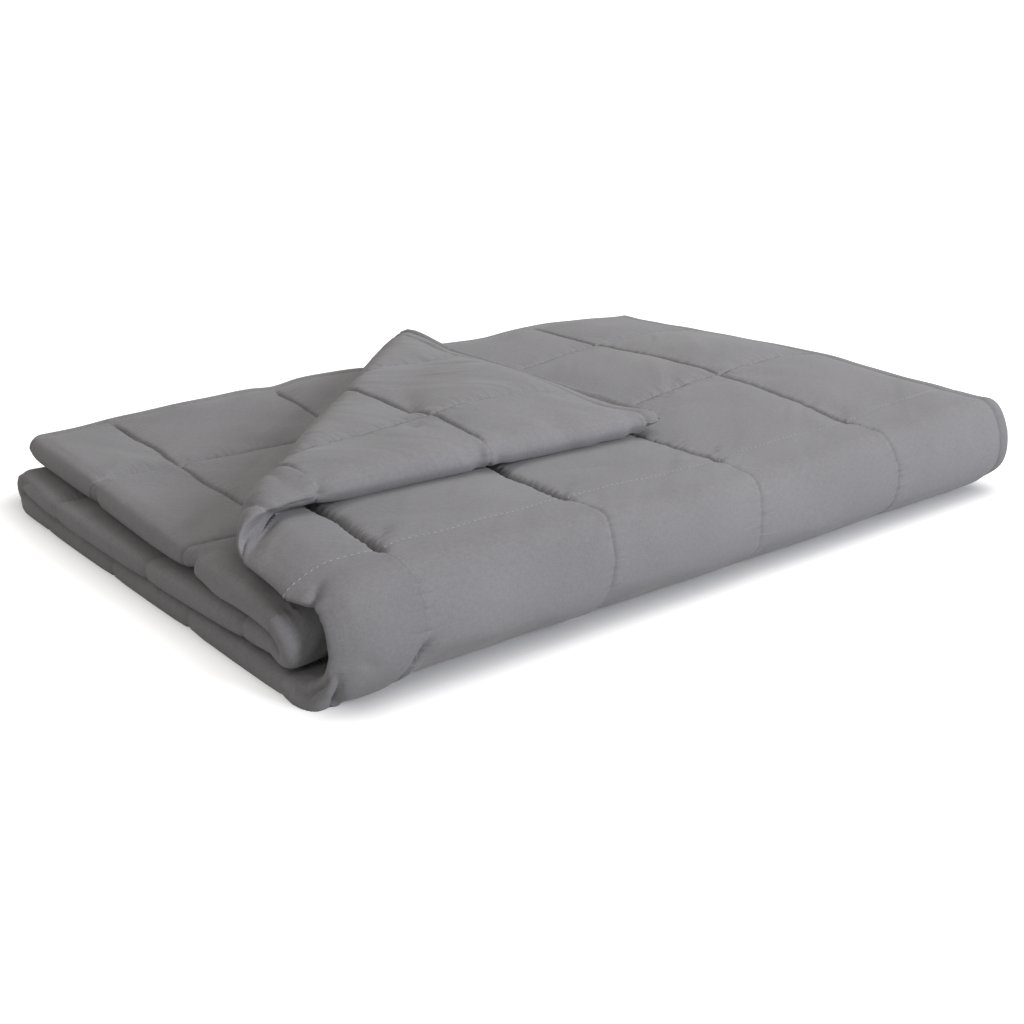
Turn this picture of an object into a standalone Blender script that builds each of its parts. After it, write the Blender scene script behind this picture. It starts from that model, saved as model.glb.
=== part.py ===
"""A quilted weighted blanket, folded to a packet with one corner turned back.

The cloth is 9 columns by 14 rows of quilted squares. It is folded in half across its columns, with the
fold at the left and both hems at the right, which makes a double layer. The double layer is then folded
across its rows: it starts at the far hem, runs forward over the top, turns down round the near side,
runs back along the bottom, and goes up and forward and up and back again inside. Last, the far left
corner of the top run is turned back over a slanting line and lies on the top.

Every point of the cloth has three numbers: a column and a row, counted in squares, and its offset from
the middle of the cloth. fold_point carries them to the packet, in metres, +Z up, front at -Y.
"""

import bpy
import numpy as np

MM = 0.001

# The cloth: the pitch of its layers, and half its thickness at its fullest, at a seam and at its edge
LAYER_PITCH = 8.4 * MM
PUFFED = 3.8 * MM
PUFFED_IN_SIGHT = 5.2 * MM
AT_SEAM = 1.5 * MM
AT_EDGE = 1.3 * MM
SEAM_REACH = 13 * MM
HEM_BAND = 14 * MM
SQUARE = 129 * MM
LAST_COLUMN = 4.5
LAST_ROW = 14.0

# Each half of the cloth, folded at column 0: from the fold to the first seam, then one square each
UPPER_HALF = {"first_seam": 56.0 * MM, "square": 127.5 * MM}
LOWER_HALF = {"first_seam": 74.5 * MM, "square": 123.0 * MM}

# The double layer's middle line, seen from the left end: runs stacked a pitch apart, joined by turns
RUN_PITCH = 17.0 * MM
BED = LAYER_PITCH / 2 + PUFFED
TURN_RADIUS = RUN_PITCH / 2
TOP_MIDDLE = BED + 3 * RUN_PITCH
NEAR_TURN_DEPTH = 33.0 * MM
NEAR_TURN_REACH = 23.5 * MM
FAR_TURN_DEPTH = 377.0 * MM
INNER_TURN_DEPTH = 50.0 * MM
TOP_HEM_DEPTH = 425.0 * MM
INNER_HEM_DEPTH = 408.0 * MM
PATH_STEPS = 240

# Where each row seam lies: (run of the path, depth from the packet's front). Row 0 is the top run's hem
TOP, NEAR_TURN, BOTTOM, FAR_TURN, THIRD, INNER_TURN, SECOND = range(7)
ROW_SEAMS = [
    (TOP, TOP_HEM_DEPTH),
    (TOP, 302.0 * MM),
    (TOP, 172.0 * MM),
    (TOP, 52.0 * MM),
    (BOTTOM, 36.0 * MM),
    (BOTTOM, 139.0 * MM),
    (BOTTOM, 233.0 * MM),
    (BOTTOM, 335.0 * MM),
    (THIRD, 305.0 * MM),
    (THIRD, 182.0 * MM),
    (THIRD, 80.0 * MM),
    (SECOND, 52.0 * MM),
    (SECOND, 145.0 * MM),
    (SECOND, 280.0 * MM),
    (SECOND, INNER_HEM_DEPTH),
]

# The left fold isn't straight: where it lies at some rows, from the packet's left
FOLD_ROWS = np.array([0, 3, 3.5, 4, 7.4, 8, 10.4, 11.2, 14])
FOLD_AT = np.array([26, 28, 28, 21, -6, -5, 25, 21, 7]) * MM

# The packet is uneven: the height of its top at some widths (columns) and depths (rows)
HEIGHT_WIDTHS = np.array([25, 82, 210, 337, 405, 470, 530, 592]) * MM
HEIGHT_DEPTHS = np.array([33, 53, 120, 180, 318, 425]) * MM
TOP_HEIGHTS = np.array([
    [58.0, 60.5, 56.5, 53.5, 55.0, 57.5, 60.0, 62.0],
    [61.0, 64.0, 59.5, 56.0, 58.0, 60.0, 63.0, 65.0],
    [63.0, 64.0, 60.0, 55.5, 61.0, 69.0, 69.0, 67.5],
    [63.0, 64.0, 61.0, 56.5, 65.5, 75.5, 75.0, 70.0],
    [66.0, 67.0, 67.0, 61.0, 63.0, 72.0, 69.0, 66.5],
    [66.0, 68.0, 70.0, 66.0, 64.0, 68.0, 67.0, 64.5],
]) * MM
EVEN_TOP = TOP_MIDDLE + LAYER_PITCH / 2 + AT_SEAM

# The corner that is turned back: the line where it starts to rise, and its roll at both ends
CORNER_FRONT = np.array([32.0, 81.0]) * MM
CORNER_BACK = np.array([357.0, 425.0]) * MM
ROLL_FRONT = 11.0 * MM
ROLL_BACK = 13.5 * MM
SETTLE_FRONT = 78.0 * MM
SETTLE_BACK = 46.0 * MM
LAID_ON = RUN_PITCH
FLAP_RISE = 12.0 * MM
FLAP_LENGTH = 200.0 * MM
FLAP_EDGE = 50.0 * MM

# The grid of cloth points, and the share of its faces kept for the solid
COLUMN_STEPS = 22
ROW_STEPS = 16
FOLD_STEPS = 10
MOST_TRIANGLES = 11600

GREY_CLOTH = (0.246, 0.242, 0.25, 1.0)


def smooth(share):
    """0 to 1, level at both ends: 3 t^2 - 2 t^3."""
    share = np.clip(share, 0, 1)
    return share * share * (3 - 2 * share)


def through(knots, values, at):
    """A smooth cubic through the values at the knots, level at both ends. values may be one row per knot."""
    at = np.clip(at, knots[0], knots[-1])
    index = np.clip(np.searchsorted(knots, at, side="right") - 1, 0, len(knots) - 2)
    span = np.diff(knots)
    rise = np.diff(values, axis=0) / span.reshape((-1,) + (1,) * (values.ndim - 1))
    slope = np.zeros_like(values)
    slope[1:-1] = (rise[:-1] + rise[1:]) / 2
    t = (at - knots[index]) / span[index]
    which = (index,) if values.ndim == 1 else (index, np.arange(len(at)))
    after = (index + 1,) + which[1:]
    return (
        (1 + 2 * t) * (1 - t) ** 2 * values[which]
        + t * (1 - t) ** 2 * span[index] * slope[which]
        + t * t * (3 - 2 * t) * values[after]
        + t * t * (t - 1) * span[index] * slope[after]
    )


def half_turn(depth, height, reach, radius, forward):
    """Points of a half turn that rises by two radii, or drops by them where radius is negative."""
    angle = np.linspace(0, np.pi, PATH_STEPS)
    side = -1 if forward else 1
    return np.stack([depth + side * reach * np.sin(angle), height + radius * (1 - np.cos(angle))], 1)


def run(start, end, height):
    depth = np.linspace(start, end, PATH_STEPS)
    return np.stack([depth, np.full_like(depth, height)], 1)


def double_layer_path():
    """The middle line of the double layer as (depth, height) points, one list for each run and turn."""
    third = BED + RUN_PITCH
    second = BED + 2 * RUN_PITCH
    drop = (BED - TOP_MIDDLE) / 2
    return [
        run(TOP_HEM_DEPTH, NEAR_TURN_DEPTH, TOP_MIDDLE),
        half_turn(NEAR_TURN_DEPTH, TOP_MIDDLE, NEAR_TURN_REACH, drop, True),
        run(NEAR_TURN_DEPTH, FAR_TURN_DEPTH, BED),
        half_turn(FAR_TURN_DEPTH, BED, TURN_RADIUS, TURN_RADIUS, False),
        run(FAR_TURN_DEPTH, INNER_TURN_DEPTH, third),
        half_turn(INNER_TURN_DEPTH, third, TURN_RADIUS, TURN_RADIUS, True),
        run(INNER_TURN_DEPTH, INNER_HEM_DEPTH, second),
    ]


class Path:
    """The double layer's middle line by row: where a row lies, and which way the line runs there."""

    def __init__(self):
        pieces = double_layer_path()
        points = np.concatenate(pieces)
        steps = np.linalg.norm(np.diff(points, axis=0), axis=1)
        keep = np.concatenate([[True], steps > 1e-9])
        self.points = points[keep]
        self.length = np.concatenate([[0], np.cumsum(steps[steps > 1e-9])])
        self.row_length = np.array([self.seam_length(pieces, *seam) for seam in ROW_SEAMS])

    def seam_length(self, pieces, which, depth):
        """How far along the line a run passes a depth."""
        line = pieces[which]
        before = sum(np.linalg.norm(np.diff(piece, axis=0), axis=1).sum() for piece in pieces[:which])
        return before + abs(depth - line[0, 0])

    def at(self, row):
        """(depth, height) at a row, and the unit normal (depth, height) towards the upper half."""
        along = np.interp(row, np.arange(len(self.row_length)), self.row_length)
        reach = 0.4 * MM
        place = self.lookup(along)
        tangent = self.lookup(along + reach) - self.lookup(along - reach)
        tangent /= np.linalg.norm(tangent, axis=-1, keepdims=True)
        return place, np.stack([tangent[..., 1], -tangent[..., 0]], -1)

    def lookup(self, along):
        return np.stack([np.interp(along, self.length, self.points[:, k]) for k in (0, 1)], -1)


def across_fold(column, offset):
    """Distance from the left fold and from the double layer's middle, for a column and a cloth offset.

    Near column 0 the cloth is a half circle of half a layer pitch in radius; past it, each half is flat.
    """
    radius = LAYER_PITCH / 2
    upper = column > 0
    first = np.where(upper, UPPER_HALF["first_seam"], LOWER_HALF["first_seam"])
    square = np.where(upper, UPPER_HALF["square"], LOWER_HALF["square"])
    first = first - 2 * radius + np.pi / 2 * radius
    squares = np.abs(column)
    along = np.where(squares < 0.5, squares / 0.5 * first, first + (squares - 0.5) * square)
    quarter = np.pi / 2 * radius
    angle = np.clip(along / radius, 0, np.pi / 2)
    width = np.where(along < quarter, 2 * radius - (radius + offset) * np.cos(angle),
                     2 * radius + along - quarter)
    rise = (radius + offset) * np.sin(angle)
    return width, np.where(upper, rise, -rise)


def lie(width, depth):
    """How thick the packet is at a place, against an even one."""
    shape = width.shape
    across = np.array([through(HEIGHT_DEPTHS, column, depth.ravel()) for column in TOP_HEIGHTS.T])
    return through(HEIGHT_WIDTHS, across, width.ravel()).reshape(shape) / EVEN_TOP


def turned_back(width, depth, rise):
    """The top run past the slanting line: a roll of half a turn, then a flap that settles on the top.

    Returns the plan place, the height over the top run's middle, and the distance past the line.
    """
    line = CORNER_BACK - CORNER_FRONT
    length = np.hypot(*line)
    line = line / length
    out = np.array([-line[1], line[0]])
    past = (width - CORNER_FRONT[0]) * out[0] + (depth - CORNER_FRONT[1]) * out[1]
    share = ((width - CORNER_FRONT[0]) * line[0] + (depth - CORNER_FRONT[1]) * line[1]) / length
    share = np.clip(share, 0, 1)
    radius = ROLL_FRONT + (ROLL_BACK - ROLL_FRONT) * share
    settle = SETTLE_FRONT + (SETTLE_BACK - SETTLE_FRONT) * share
    gone = np.maximum(past, 0)
    angle = np.minimum(gone / radius, np.pi)
    beyond = gone - np.pi * radius
    flat = beyond > 0
    part = np.clip(beyond / settle, 0, 1)
    slope = -(2 * radius - LAID_ON) * 6 * part * (1 - part) / settle
    lean = 1 / np.sqrt(1 + slope**2)
    reach = np.where(flat, -beyond, radius * np.sin(angle))
    height = np.where(flat, LAID_ON + (2 * radius - LAID_ON) * (1 - smooth(part)), radius * (1 - np.cos(angle)))
    normal_out = np.where(flat, -slope * lean, -np.sin(angle))
    normal_up = np.where(flat, -lean, np.cos(angle))
    belly = np.sin(np.pi * np.clip((gone - np.pi * ROLL_FRONT) / FLAP_LENGTH, 0, 1)) ** 2
    belly *= np.clip((width - CORNER_FRONT[0]) / FLAP_EDGE, 0, 1)
    belly *= np.clip((TOP_HEM_DEPTH - depth) / FLAP_EDGE, 0, 1)
    foot_width = width - gone * out[0]
    foot_depth = depth - gone * out[1]
    shift = reach + rise * normal_out
    place = (foot_width + shift * out[0], foot_depth + shift * out[1])
    return place, height + rise * normal_up + FLAP_RISE * belly, past


def fold_point(path, column, row, offset):
    """Carries cloth points (column, row, offset from the cloth's middle) to the packet."""
    width, rise = across_fold(column, offset)
    (depth, height), (lean_depth, lean_height) = (np.moveaxis(part, -1, 0) for part in path.at(row))
    width = width + np.interp(row, FOLD_ROWS, FOLD_AT)
    depth_flat = depth + rise * lean_depth
    height_flat = (height + rise * lean_height) * lie(width, depth_flat)
    (flap_width, flap_depth), above, past = turned_back(width, depth_flat, rise)
    thickness = lie(width, depth_flat)
    above = above + rise * (thickness - 1) * (1 - smooth(past / ROLL_FRONT))
    flap_height = TOP_MIDDLE * lie(flap_width, flap_depth) + above
    bent = (row < 3) & (past > 0)
    return np.stack([
        np.where(bent, flap_width, width),
        np.where(bent, flap_depth, depth_flat),
        np.where(bent, flap_height, height_flat),
    ], -1)


def puff(column, row):
    """How full the cloth is: 1 in the middle of a square and 0 on its seams.

    The hem's own stitching is one more seam. Also returns how full it is from that one alone, and the
    distance to the nearest edge.
    """
    to_column_seam = np.abs(np.abs(column) % 1 - 0.5) * SQUARE
    to_row_seam = np.abs(row - np.round(row)) * SQUARE
    to_edge = np.minimum(LAST_COLUMN - np.abs(column), np.minimum(row, LAST_ROW - row)) * SQUARE
    rises = [1 - np.exp(-((gap / SEAM_REACH) ** 2)) for gap in (to_column_seam, to_row_seam)]
    by_hem = smooth((to_edge - HEM_BAND) / SEAM_REACH)
    return rises[0] * rises[1] * by_hem, by_hem, to_edge


def shown(column, row):
    """Where the outer face of the cloth lies open and shows its quilting: elsewhere it stays plain."""
    upper_half = (column > 0) & (row < 4)
    corner = (column < 0) & (column > -3.5) & (row + 0.9 * -column < 3.2)
    left_of_corner = (column < 0) & (column > -3) & (row > 11)
    return upper_half | corner | left_of_corner


def steps_between(stops, count):
    """Even steps between each pair of stops."""
    parts = [np.linspace(a, b, count, endpoint=False) for a, b in zip(stops[:-1], stops[1:])]
    return np.concatenate(parts + [[stops[-1]]])


def cloth_lines():
    """The columns and rows of the grid, closer together where the cloth folds and at the hems."""
    fold = 0.06
    hem = HEM_BAND / SQUARE
    half = steps_between([fold, *np.arange(0.5, LAST_COLUMN), LAST_COLUMN - hem, LAST_COLUMN], COLUMN_STEPS)
    columns = np.concatenate([-half[::-1], np.linspace(-fold, fold, 2 * FOLD_STEPS + 1)[1:-1], half])
    rows = steps_between([0, hem, *range(1, 14), LAST_ROW - hem, LAST_ROW], ROW_STEPS)
    turns = [(3.1, 4.0), (7.25, 7.6), (10.3, 11.0)]
    extra = [np.linspace(a, b, 2 * ROW_STEPS) for a, b in turns]
    return columns, np.unique(np.round(np.concatenate([rows] + extra), 5))


def cloth_points():
    """Both faces of the cloth as grids of points, and a middle line round its edge."""
    path = Path()
    columns, rows = cloth_lines()
    column, row = np.meshgrid(columns, rows, indexing="ij")
    full, by_hem, to_edge = puff(column, row)
    outer = AT_SEAM + np.where(
        shown(column, row),
        (PUFFED_IN_SIGHT - AT_SEAM) * full,
        (PUFFED - AT_SEAM) * by_hem,
    )
    inner = AT_SEAM + (PUFFED - AT_SEAM) * by_hem
    edge = to_edge < 1e-6
    outer = np.where(edge, AT_EDGE, outer)
    inner = np.where(edge, AT_EDGE, inner)
    at_end = np.abs(column) > LAST_COLUMN - 1e-6
    edge_column = column + np.where(at_end, np.sign(column) * AT_EDGE / 2 / SQUARE, 0)
    return (
        fold_point(path, column, row, outer),
        fold_point(path, column, row, -inner),
        fold_point(path, edge_column, row, np.zeros_like(column)),
    )


def closed_faces(shape):
    """Quads of the outer face, the inner face, and the rim that joins them through the edge line."""
    count = shape[0] * shape[1]
    index = np.arange(count).reshape(shape)
    quads = np.stack([index[:-1, :-1], index[:-1, 1:], index[1:, 1:], index[1:, :-1]], -1).reshape(-1, 4)
    round_edge = np.concatenate([index[:-1, 0], index[-1, :-1], index[:0:-1, -1], index[0, :0:-1]])
    following = np.roll(round_edge, -1)
    outer, inner, rim = 0, count, 2 * count
    upper_rim = np.stack([round_edge + outer, following + outer, following + rim, round_edge + rim], -1)
    lower_rim = np.stack([round_edge + rim, following + rim, following + inner, round_edge + inner], -1)
    return np.concatenate([quads + outer, quads[:, ::-1] + inner, upper_rim, lower_rim])


def blanket_mesh():
    outer, inner, edge = cloth_points()
    points = np.concatenate([part.reshape(-1, 3) for part in (outer, inner, edge)])
    faces = closed_faces(outer.shape[:2])
    used, renumbered = np.unique(faces, return_inverse=True)
    points = points[used]
    low, high = points.min(0), points.max(0)
    points -= [(low[0] + high[0]) / 2, (low[1] + high[1]) / 2, low[2]]
    mesh = bpy.data.meshes.new("quilted_blanket")
    mesh.from_pydata(points.tolist(), [], renumbered.reshape(faces.shape).tolist())
    mesh.validate()
    mesh.update()
    return mesh


def grey_cotton():
    material = bpy.data.materials.new("grey woven cotton")
    material.use_nodes = True
    shader = material.node_tree.nodes["Principled BSDF"]
    shader.inputs["Base Color"].default_value = GREY_CLOTH
    shader.inputs["Roughness"].default_value = 0.9
    shader.inputs["Metallic"].default_value = 0.0
    return material


def build():
    for item in list(bpy.data.objects):
        bpy.data.objects.remove(item)
    mesh = blanket_mesh()
    mesh.materials.append(grey_cotton())
    blanket = bpy.data.objects.new("quilted_blanket", mesh)
    bpy.context.scene.collection.objects.link(blanket)
    triangles = sum(len(face.vertices) - 2 for face in mesh.polygons)
    fewer = blanket.modifiers.new("keep_faces_where_it_bends", "DECIMATE")
    fewer.ratio = MOST_TRIANGLES / triangles
    fewer.use_collapse_triangulate = True
    return blanket


build()
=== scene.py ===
"""The looks of a quilted weighted blanket, folded to a packet with one corner turned back.

The blanket is 9 columns by 14 rows of quilted squares of grey plain-woven cotton over a fine heavy fill.
It is folded in half across its columns, with the fold at the left and both hems at the right, and that
double layer is folded back and forth across its rows. Each point of the cloth has a column and a row,
counted in squares, and an offset from the cloth's middle, and fold_point carries it to the packet.
"""

import bpy
import numpy as np
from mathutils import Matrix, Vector


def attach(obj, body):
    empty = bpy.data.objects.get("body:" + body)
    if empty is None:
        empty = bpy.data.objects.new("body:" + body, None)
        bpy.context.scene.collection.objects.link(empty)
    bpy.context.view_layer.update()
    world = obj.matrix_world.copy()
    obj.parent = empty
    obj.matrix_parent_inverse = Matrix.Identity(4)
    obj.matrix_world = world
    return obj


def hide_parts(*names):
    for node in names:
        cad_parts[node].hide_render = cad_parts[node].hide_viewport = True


MM = 0.001

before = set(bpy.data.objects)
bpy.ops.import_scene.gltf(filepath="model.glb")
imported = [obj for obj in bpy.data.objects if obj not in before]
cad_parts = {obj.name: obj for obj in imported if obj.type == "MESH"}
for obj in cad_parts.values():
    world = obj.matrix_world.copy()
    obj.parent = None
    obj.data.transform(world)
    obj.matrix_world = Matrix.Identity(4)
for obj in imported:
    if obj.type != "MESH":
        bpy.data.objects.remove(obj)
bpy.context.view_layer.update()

# The middle of the packet, counted from the left end and the front
PACKET_MIDDLE = np.array([294.8, 213.5, 0]) * MM

# The cloth: the pitch of its layers, and half its thickness at its fullest, at a seam and at its edge
LAYER_PITCH = 8.4 * MM
PUFFED = 3.8 * MM
PUFFED_IN_SIGHT = 6.6 * MM
AT_SEAM = 2.4 * MM
AT_EDGE = 1.9 * MM
THINNEST = 0.4 * MM

# The quilting, counted in squares: column seams lie 0.5, 1.5 and so on from the left fold, on both halves,
# and row seams at each whole row from the top run's hem
SQUARE = 129 * MM
FIRST_COLUMN = 0.5
LAST_COLUMN = 4.5
LAST_ROW = 14.0

# The hem: its band, how full and round it is, and the groove of its seam, shallower along the top run's hem
HEM_BAND = 14 * MM
HEM_FULL = 1.9 * MM
HEM_ROUND = 3 * MM
HEM_FADE_OUTSIDE = 16 * MM
HEM_FADE_INSIDE = 12 * MM
HEM_SEAM_INSET = 1 * MM
HEM_SEAM_WIDTH = 1.3 * MM
HEM_SEAM_DEPTH = 1.8 * MM
TOP_HEM_SHALLOWER = 0.85
TOP_HEM_FADE = 0.2
TOP_HEM_ROW = 0.2

# Two hems that lie together settle on each other, and the top run's upper one ends in a bead that curls down
HEM_SETTLES = 1.7 * MM
HEM_TAPER = 30 * MM
HEM_BEAD = 9.0 * MM
HEM_BEAD_RISE = 3.6 * MM
HEM_CURL = 3.0 * MM
HEM_CURL_LAST_COLUMN = 2.7
HEM_CURL_FADE = 0.3

# Each half of the cloth, folded at column 0: from the fold to the first seam, then one square each
UPPER_HALF = {"first_seam": 56.0 * MM, "square": 127.5 * MM}
LOWER_HALF = {"first_seam": 60.0 * MM, "square": 126.6 * MM}

# The double layer's middle line, seen from the left end: runs stacked a pitch apart, joined by turns
RUN_PITCH = 17.0 * MM
BED = LAYER_PITCH / 2 + PUFFED
TURN_RADIUS = RUN_PITCH / 2
TOP_MIDDLE = BED + 3 * RUN_PITCH
NEAR_TURN_DEPTH = 33.0 * MM
NEAR_TURN_REACH = 18 * MM
NEAR_TURN_SAG = 0.35
FAR_TURN_DEPTH = 377.0 * MM
INNER_TURN_DEPTH = 50.0 * MM
TOP_HEM_DEPTH = 425.0 * MM
INNER_HEM_DEPTH = 408.0 * MM
PATH_STEPS = 240
PAST_ENDS = 20 * MM
TANGENT_REACH = 0.4 * MM

# Where each row seam lies: (run of the path, depth from the packet's front). Row 0 is the top run's hem
TOP, NEAR_TURN, BOTTOM, FAR_TURN, THIRD, INNER_TURN, SECOND = range(7)
ROW_SEAMS = [
    (TOP, TOP_HEM_DEPTH),
    (TOP, 302.0 * MM),
    (TOP, 172.0 * MM),
    (TOP, 52.0 * MM),
    (BOTTOM, 36.0 * MM),
    (BOTTOM, 139.0 * MM),
    (BOTTOM, 233.0 * MM),
    (BOTTOM, 335.0 * MM),
    (THIRD, 305.0 * MM),
    (THIRD, 182.0 * MM),
    (THIRD, 80.0 * MM),
    (SECOND, 52.0 * MM),
    (SECOND, 145.0 * MM),
    (SECOND, 280.0 * MM),
    (SECOND, INNER_HEM_DEPTH),
]

# The rows of the top run don't lie square to it: how much further back each lies, by column
DRIFT_COLUMNS = np.array([0, 0.5, 1.5, 2.5, 3.5, 4.5])
DRIFT_ROWS = np.array([0, 1, 2, 3, 4, 5])
ROW_DRIFT = np.array([
    [0, 0, 0, 0, 0, 0],
    [-27, -27, -21, 2, 16, 18],
    [-16, -16, -13, 0, 5, 6],
    [-8, -8, 0, 4, 3.4, 5],
    [-6, -3, 0, 2, 2, 2],
    [0, 0, 0, 0, 0, 0],
]) * MM

# The left fold isn't straight: where it lies at some rows, from the packet's left
FOLD_ROWS = np.array([0, 3, 3.14, 3.24, 3.5, 4, 7.4, 8, 10.4, 11.2, 13.8, 13.93, 14])
FOLD_AT = np.array([26, 29, 35, 39, 37, 22, -6, -5, 25, 21, 8, 10, 15]) * MM

# The column seams lean as they run down the front: how far left each lies, by row
LEAN_ROWS = np.array([2.9, 3.2, 3.5, 3.8, 4.2, 5.2])
COLUMN_LEAN = np.array([
    [0, 0, 0, 0, 0, 0],
    [0, 4, 3, 6, 5, 0],
    [0, 7, 8, 14, 9, 0],
    [0, 8, 10, 15, 10, 0],
    [0, 5, 6, 8, 6, 0],
    [0, 0, 0, 0, 0, 0],
]) * MM

# The far edge of the second run stands up between its seams: by column, the height
FAR_EDGE_COLUMNS = np.array([0, 0.4, 0.95, 1.35, 1.5, 1.7, 2.1, 2.6, 3.2])
FAR_EDGE_LIFTS = np.array([0, 1, 4, 5, 4, 7, 9, 5, 0]) * MM
FAR_EDGE_REACH = 0.9

# At the turned-back corner the lower half's hem lies this far inside the upper half's, over these fades
HEM_INSIDE = 11.5 * MM
HEM_INSIDE_COLUMNS = 0.3
HEM_INSIDE_ROWS = 1.2

# The packet is uneven: the height of its top at some widths (columns) and depths (rows)
HEIGHT_WIDTHS = np.array([25, 82, 210, 337, 405, 470, 530, 592]) * MM
HEIGHT_DEPTHS = np.array([33, 53, 120, 180, 318, 425]) * MM
TOP_HEIGHTS = np.array([
    [58.0, 60.5, 56.5, 53.5, 55.0, 57.5, 60.0, 62.0],
    [61.0, 64.0, 59.5, 56.0, 58.0, 60.0, 63.0, 65.0],
    [63.0, 64.0, 60.0, 56.5, 61.5, 67.5, 70.0, 67.5],
    [63.0, 64.0, 61.0, 57.5, 65.5, 72.5, 75.0, 70.5],
    [66.0, 67.0, 67.0, 61.5, 64.5, 69.5, 71.0, 67.0],
    [66.0, 68.0, 70.0, 66.0, 64.0, 68.0, 67.0, 64.5],
]) * MM
EVEN_TOP = TOP_MIDDLE + LAYER_PITCH / 2 + AT_SEAM

# The corner that is turned back: the line where it starts to rise, and its roll at both ends
CORNER_FRONT = np.array([29.5, 81.0]) * MM
CORNER_BACK = np.array([354.0, 425.0]) * MM
ROLL_FRONT = 8.6 * MM
ROLL_BACK = 11.0 * MM
SETTLE_FRONT = 55.0 * MM
SETTLE_BACK = 46.0 * MM
LAID_ON = RUN_PITCH
FLAP_RISE = 12.0 * MM
FLAP_LENGTH = 200.0 * MM
FLAP_EDGE = 50.0 * MM
FIRST_UNTURNED_ROW = 3

# The left fold by row: how much it is pressed together, and how pointed it is (below 1 is boxy)
PINCH_ROWS = np.array([1.85, 2.1, 2.45, 2.8, 3.05, 3.6, 3.9, 4.2, 10.35, 10.75, 11.2])
PINCH = np.array([0, 0.42, 0.5, 0.42, 0.34, 0.3, 0.1, 0, 0, 0.3, 0])
PINCH_REACH = 0.26
POINT_ROWS = np.array([0, 2.0, 3.0, 3.6, 3.85, 10.2, 10.7, 14])
POINT = np.array([1.1, 1.2, 1.3, 1.2, 0.8, 0.8, 1.0, 0.9])

# At the near left corner the cloth stands out to a point on the floor: column, row, reach and direction
EAR_AT = (0.06, 3.88)
EAR_REACH = 0.13
EAR = np.array([1.0, -4.5, -7.0]) * MM

# The seams aren't straight: two slow waves each way, with their height and length, gone at the left fold
WANDER = 1.1 * MM
WANDER_LENGTH = 150.0 * MM
WANDER_SHORT = 0.6 * MM
WANDER_SHORT_LENGTH = 52.0 * MM
WANDER_FROM_FOLD = 0.3

# Where the second run turns under at the left, its fold hangs lower and further forward: how far, round
# which row, and over how many rows and columns
TURN_DROOP = 4.5 * MM
TURN_FORWARD = 3.5 * MM
HANGS_ROW = 10.78
HANGS_ROWS = 0.3
HANGS_COLUMNS = 0.35

# Fades from one stretch of cloth to the next, in squares
FADE_QUICK = 0.05
FADE_SHORT = 0.1
FADE_LONG = 0.3

# What lies open, in columns and rows: the upper half as far as the front's foot, the turned-back corner past
# a slanting line, and the part of the second run that the corner bares. A slant is in rows for each column
FROM_FOLD = 0.02
FRONT_FOOT_ROW = 4.0
CORNER_SLANT = 0.92
CORNER_ROW = 3.1
BARED_ROW = 11
BARED_SLANT = 0.9
BARED_COLUMN = 0.1
BARED_FADE = 0.4
FLAP_SLANT = 1.05
FLAP_ROW = 2.25

# The grid stays fine a little further than that
SEEN_COLUMNS = 0.15
SEEN_FOLD_COLUMNS = 0.3
SEEN_FRONT_ROW = 4.3
SEEN_CORNER_ROW = 3.45
SEEN_SECOND_RUN_ROW = 10.8
SEEN_BARED_ROW = 10.9
SEEN_BARED_SLANT = 0.95

# The puff of the squares comes from a small panel, sewn flat along its seams and filled until it rises.
# Its heights are counted in PANEL_HEIGHT, cut off at the highest, and have this share in the cloth's puff
PANEL_SQUARES = 4
PANEL_CELLS = 32
PANEL_SLACK = 0.012
PANEL_FILL = 8.0
PANEL_FRAMES = 20
PANEL_HEIGHT = 8.0 * MM
PANEL_HIGHEST = 1.15
PANEL_SHARE = 0.5
FLAT_TOP = 1.7

# Beside a seam the cloth falls steeply at first, and gently as a pillow does
SEAM_SLOPE = 4.4 * MM
SLOPE_ON_FRONT = 3.6 * MM
PILLOW = 17.0 * MM
PILLOW_SHARE = 0.34

# The seam's own groove is drawn tight unevenly along it
GROOVE_DEPTH = 2.6 * MM
GROOVE_WIDTH = 1.3 * MM
GROOVE_HIGHEST = 1.3
TIGHT_LEAST = 0.55
TIGHT_UNEVEN = 0.8
TIGHT_PITCH = 38 * MM

# Over the corner's roll the squares are pulled flat, most at the far end
ROLL_ROW = 2.55
ROLL_FLATTENED = 2.4 * MM
ROLL_FLAT_ROW = 2.0
ROLL_FLAT_FADE = 1.4

# How hard a seam pulls the cloth in, from 0 to 1: column seams on the front, the row seam along the front's
# top, and row seams where they cross the left fold
FRONT_SEAMS = np.array([0, 0.5, 1.5, 2.5, 3.5, 4.5])
FRONT_PULL = np.array([0.2, 0.07, 0.3, 0.34, 0.28, 0.3])
TOP_OF_FRONT_ROW = 3
TOP_OF_FRONT_PULL = 0.12
FRONT_FROM_ROW = 2.98
TOP_PAST_FOLD = 0.3
FRONT_TO_ROW = 4.9
FRONT_FOOT_FADE = 0.4
FRONT_PAST_FOLD = 0.05
FOLD_PULL_COLUMNS = 0.16
FOLD_PULL_WIDER = 0.26
FOLD_PULL_WIDER_ROW = 2
FOLD_PULL_WIDER_ROWS = 0.4
FOLD_PULL_ROWS = np.array([0, 0.6, 1.6, 1.8, 2.6, 4.4, 5, 7, 8, 10, 10.6, 11.4, 12, 13])
FOLD_PULL = np.array([1, 0.45, 0.45, 0.0, 0.1, 0.1, 0.4, 0.4, 0.5, 0.5, 0.1, 0.1, 1, 0.8])

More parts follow.
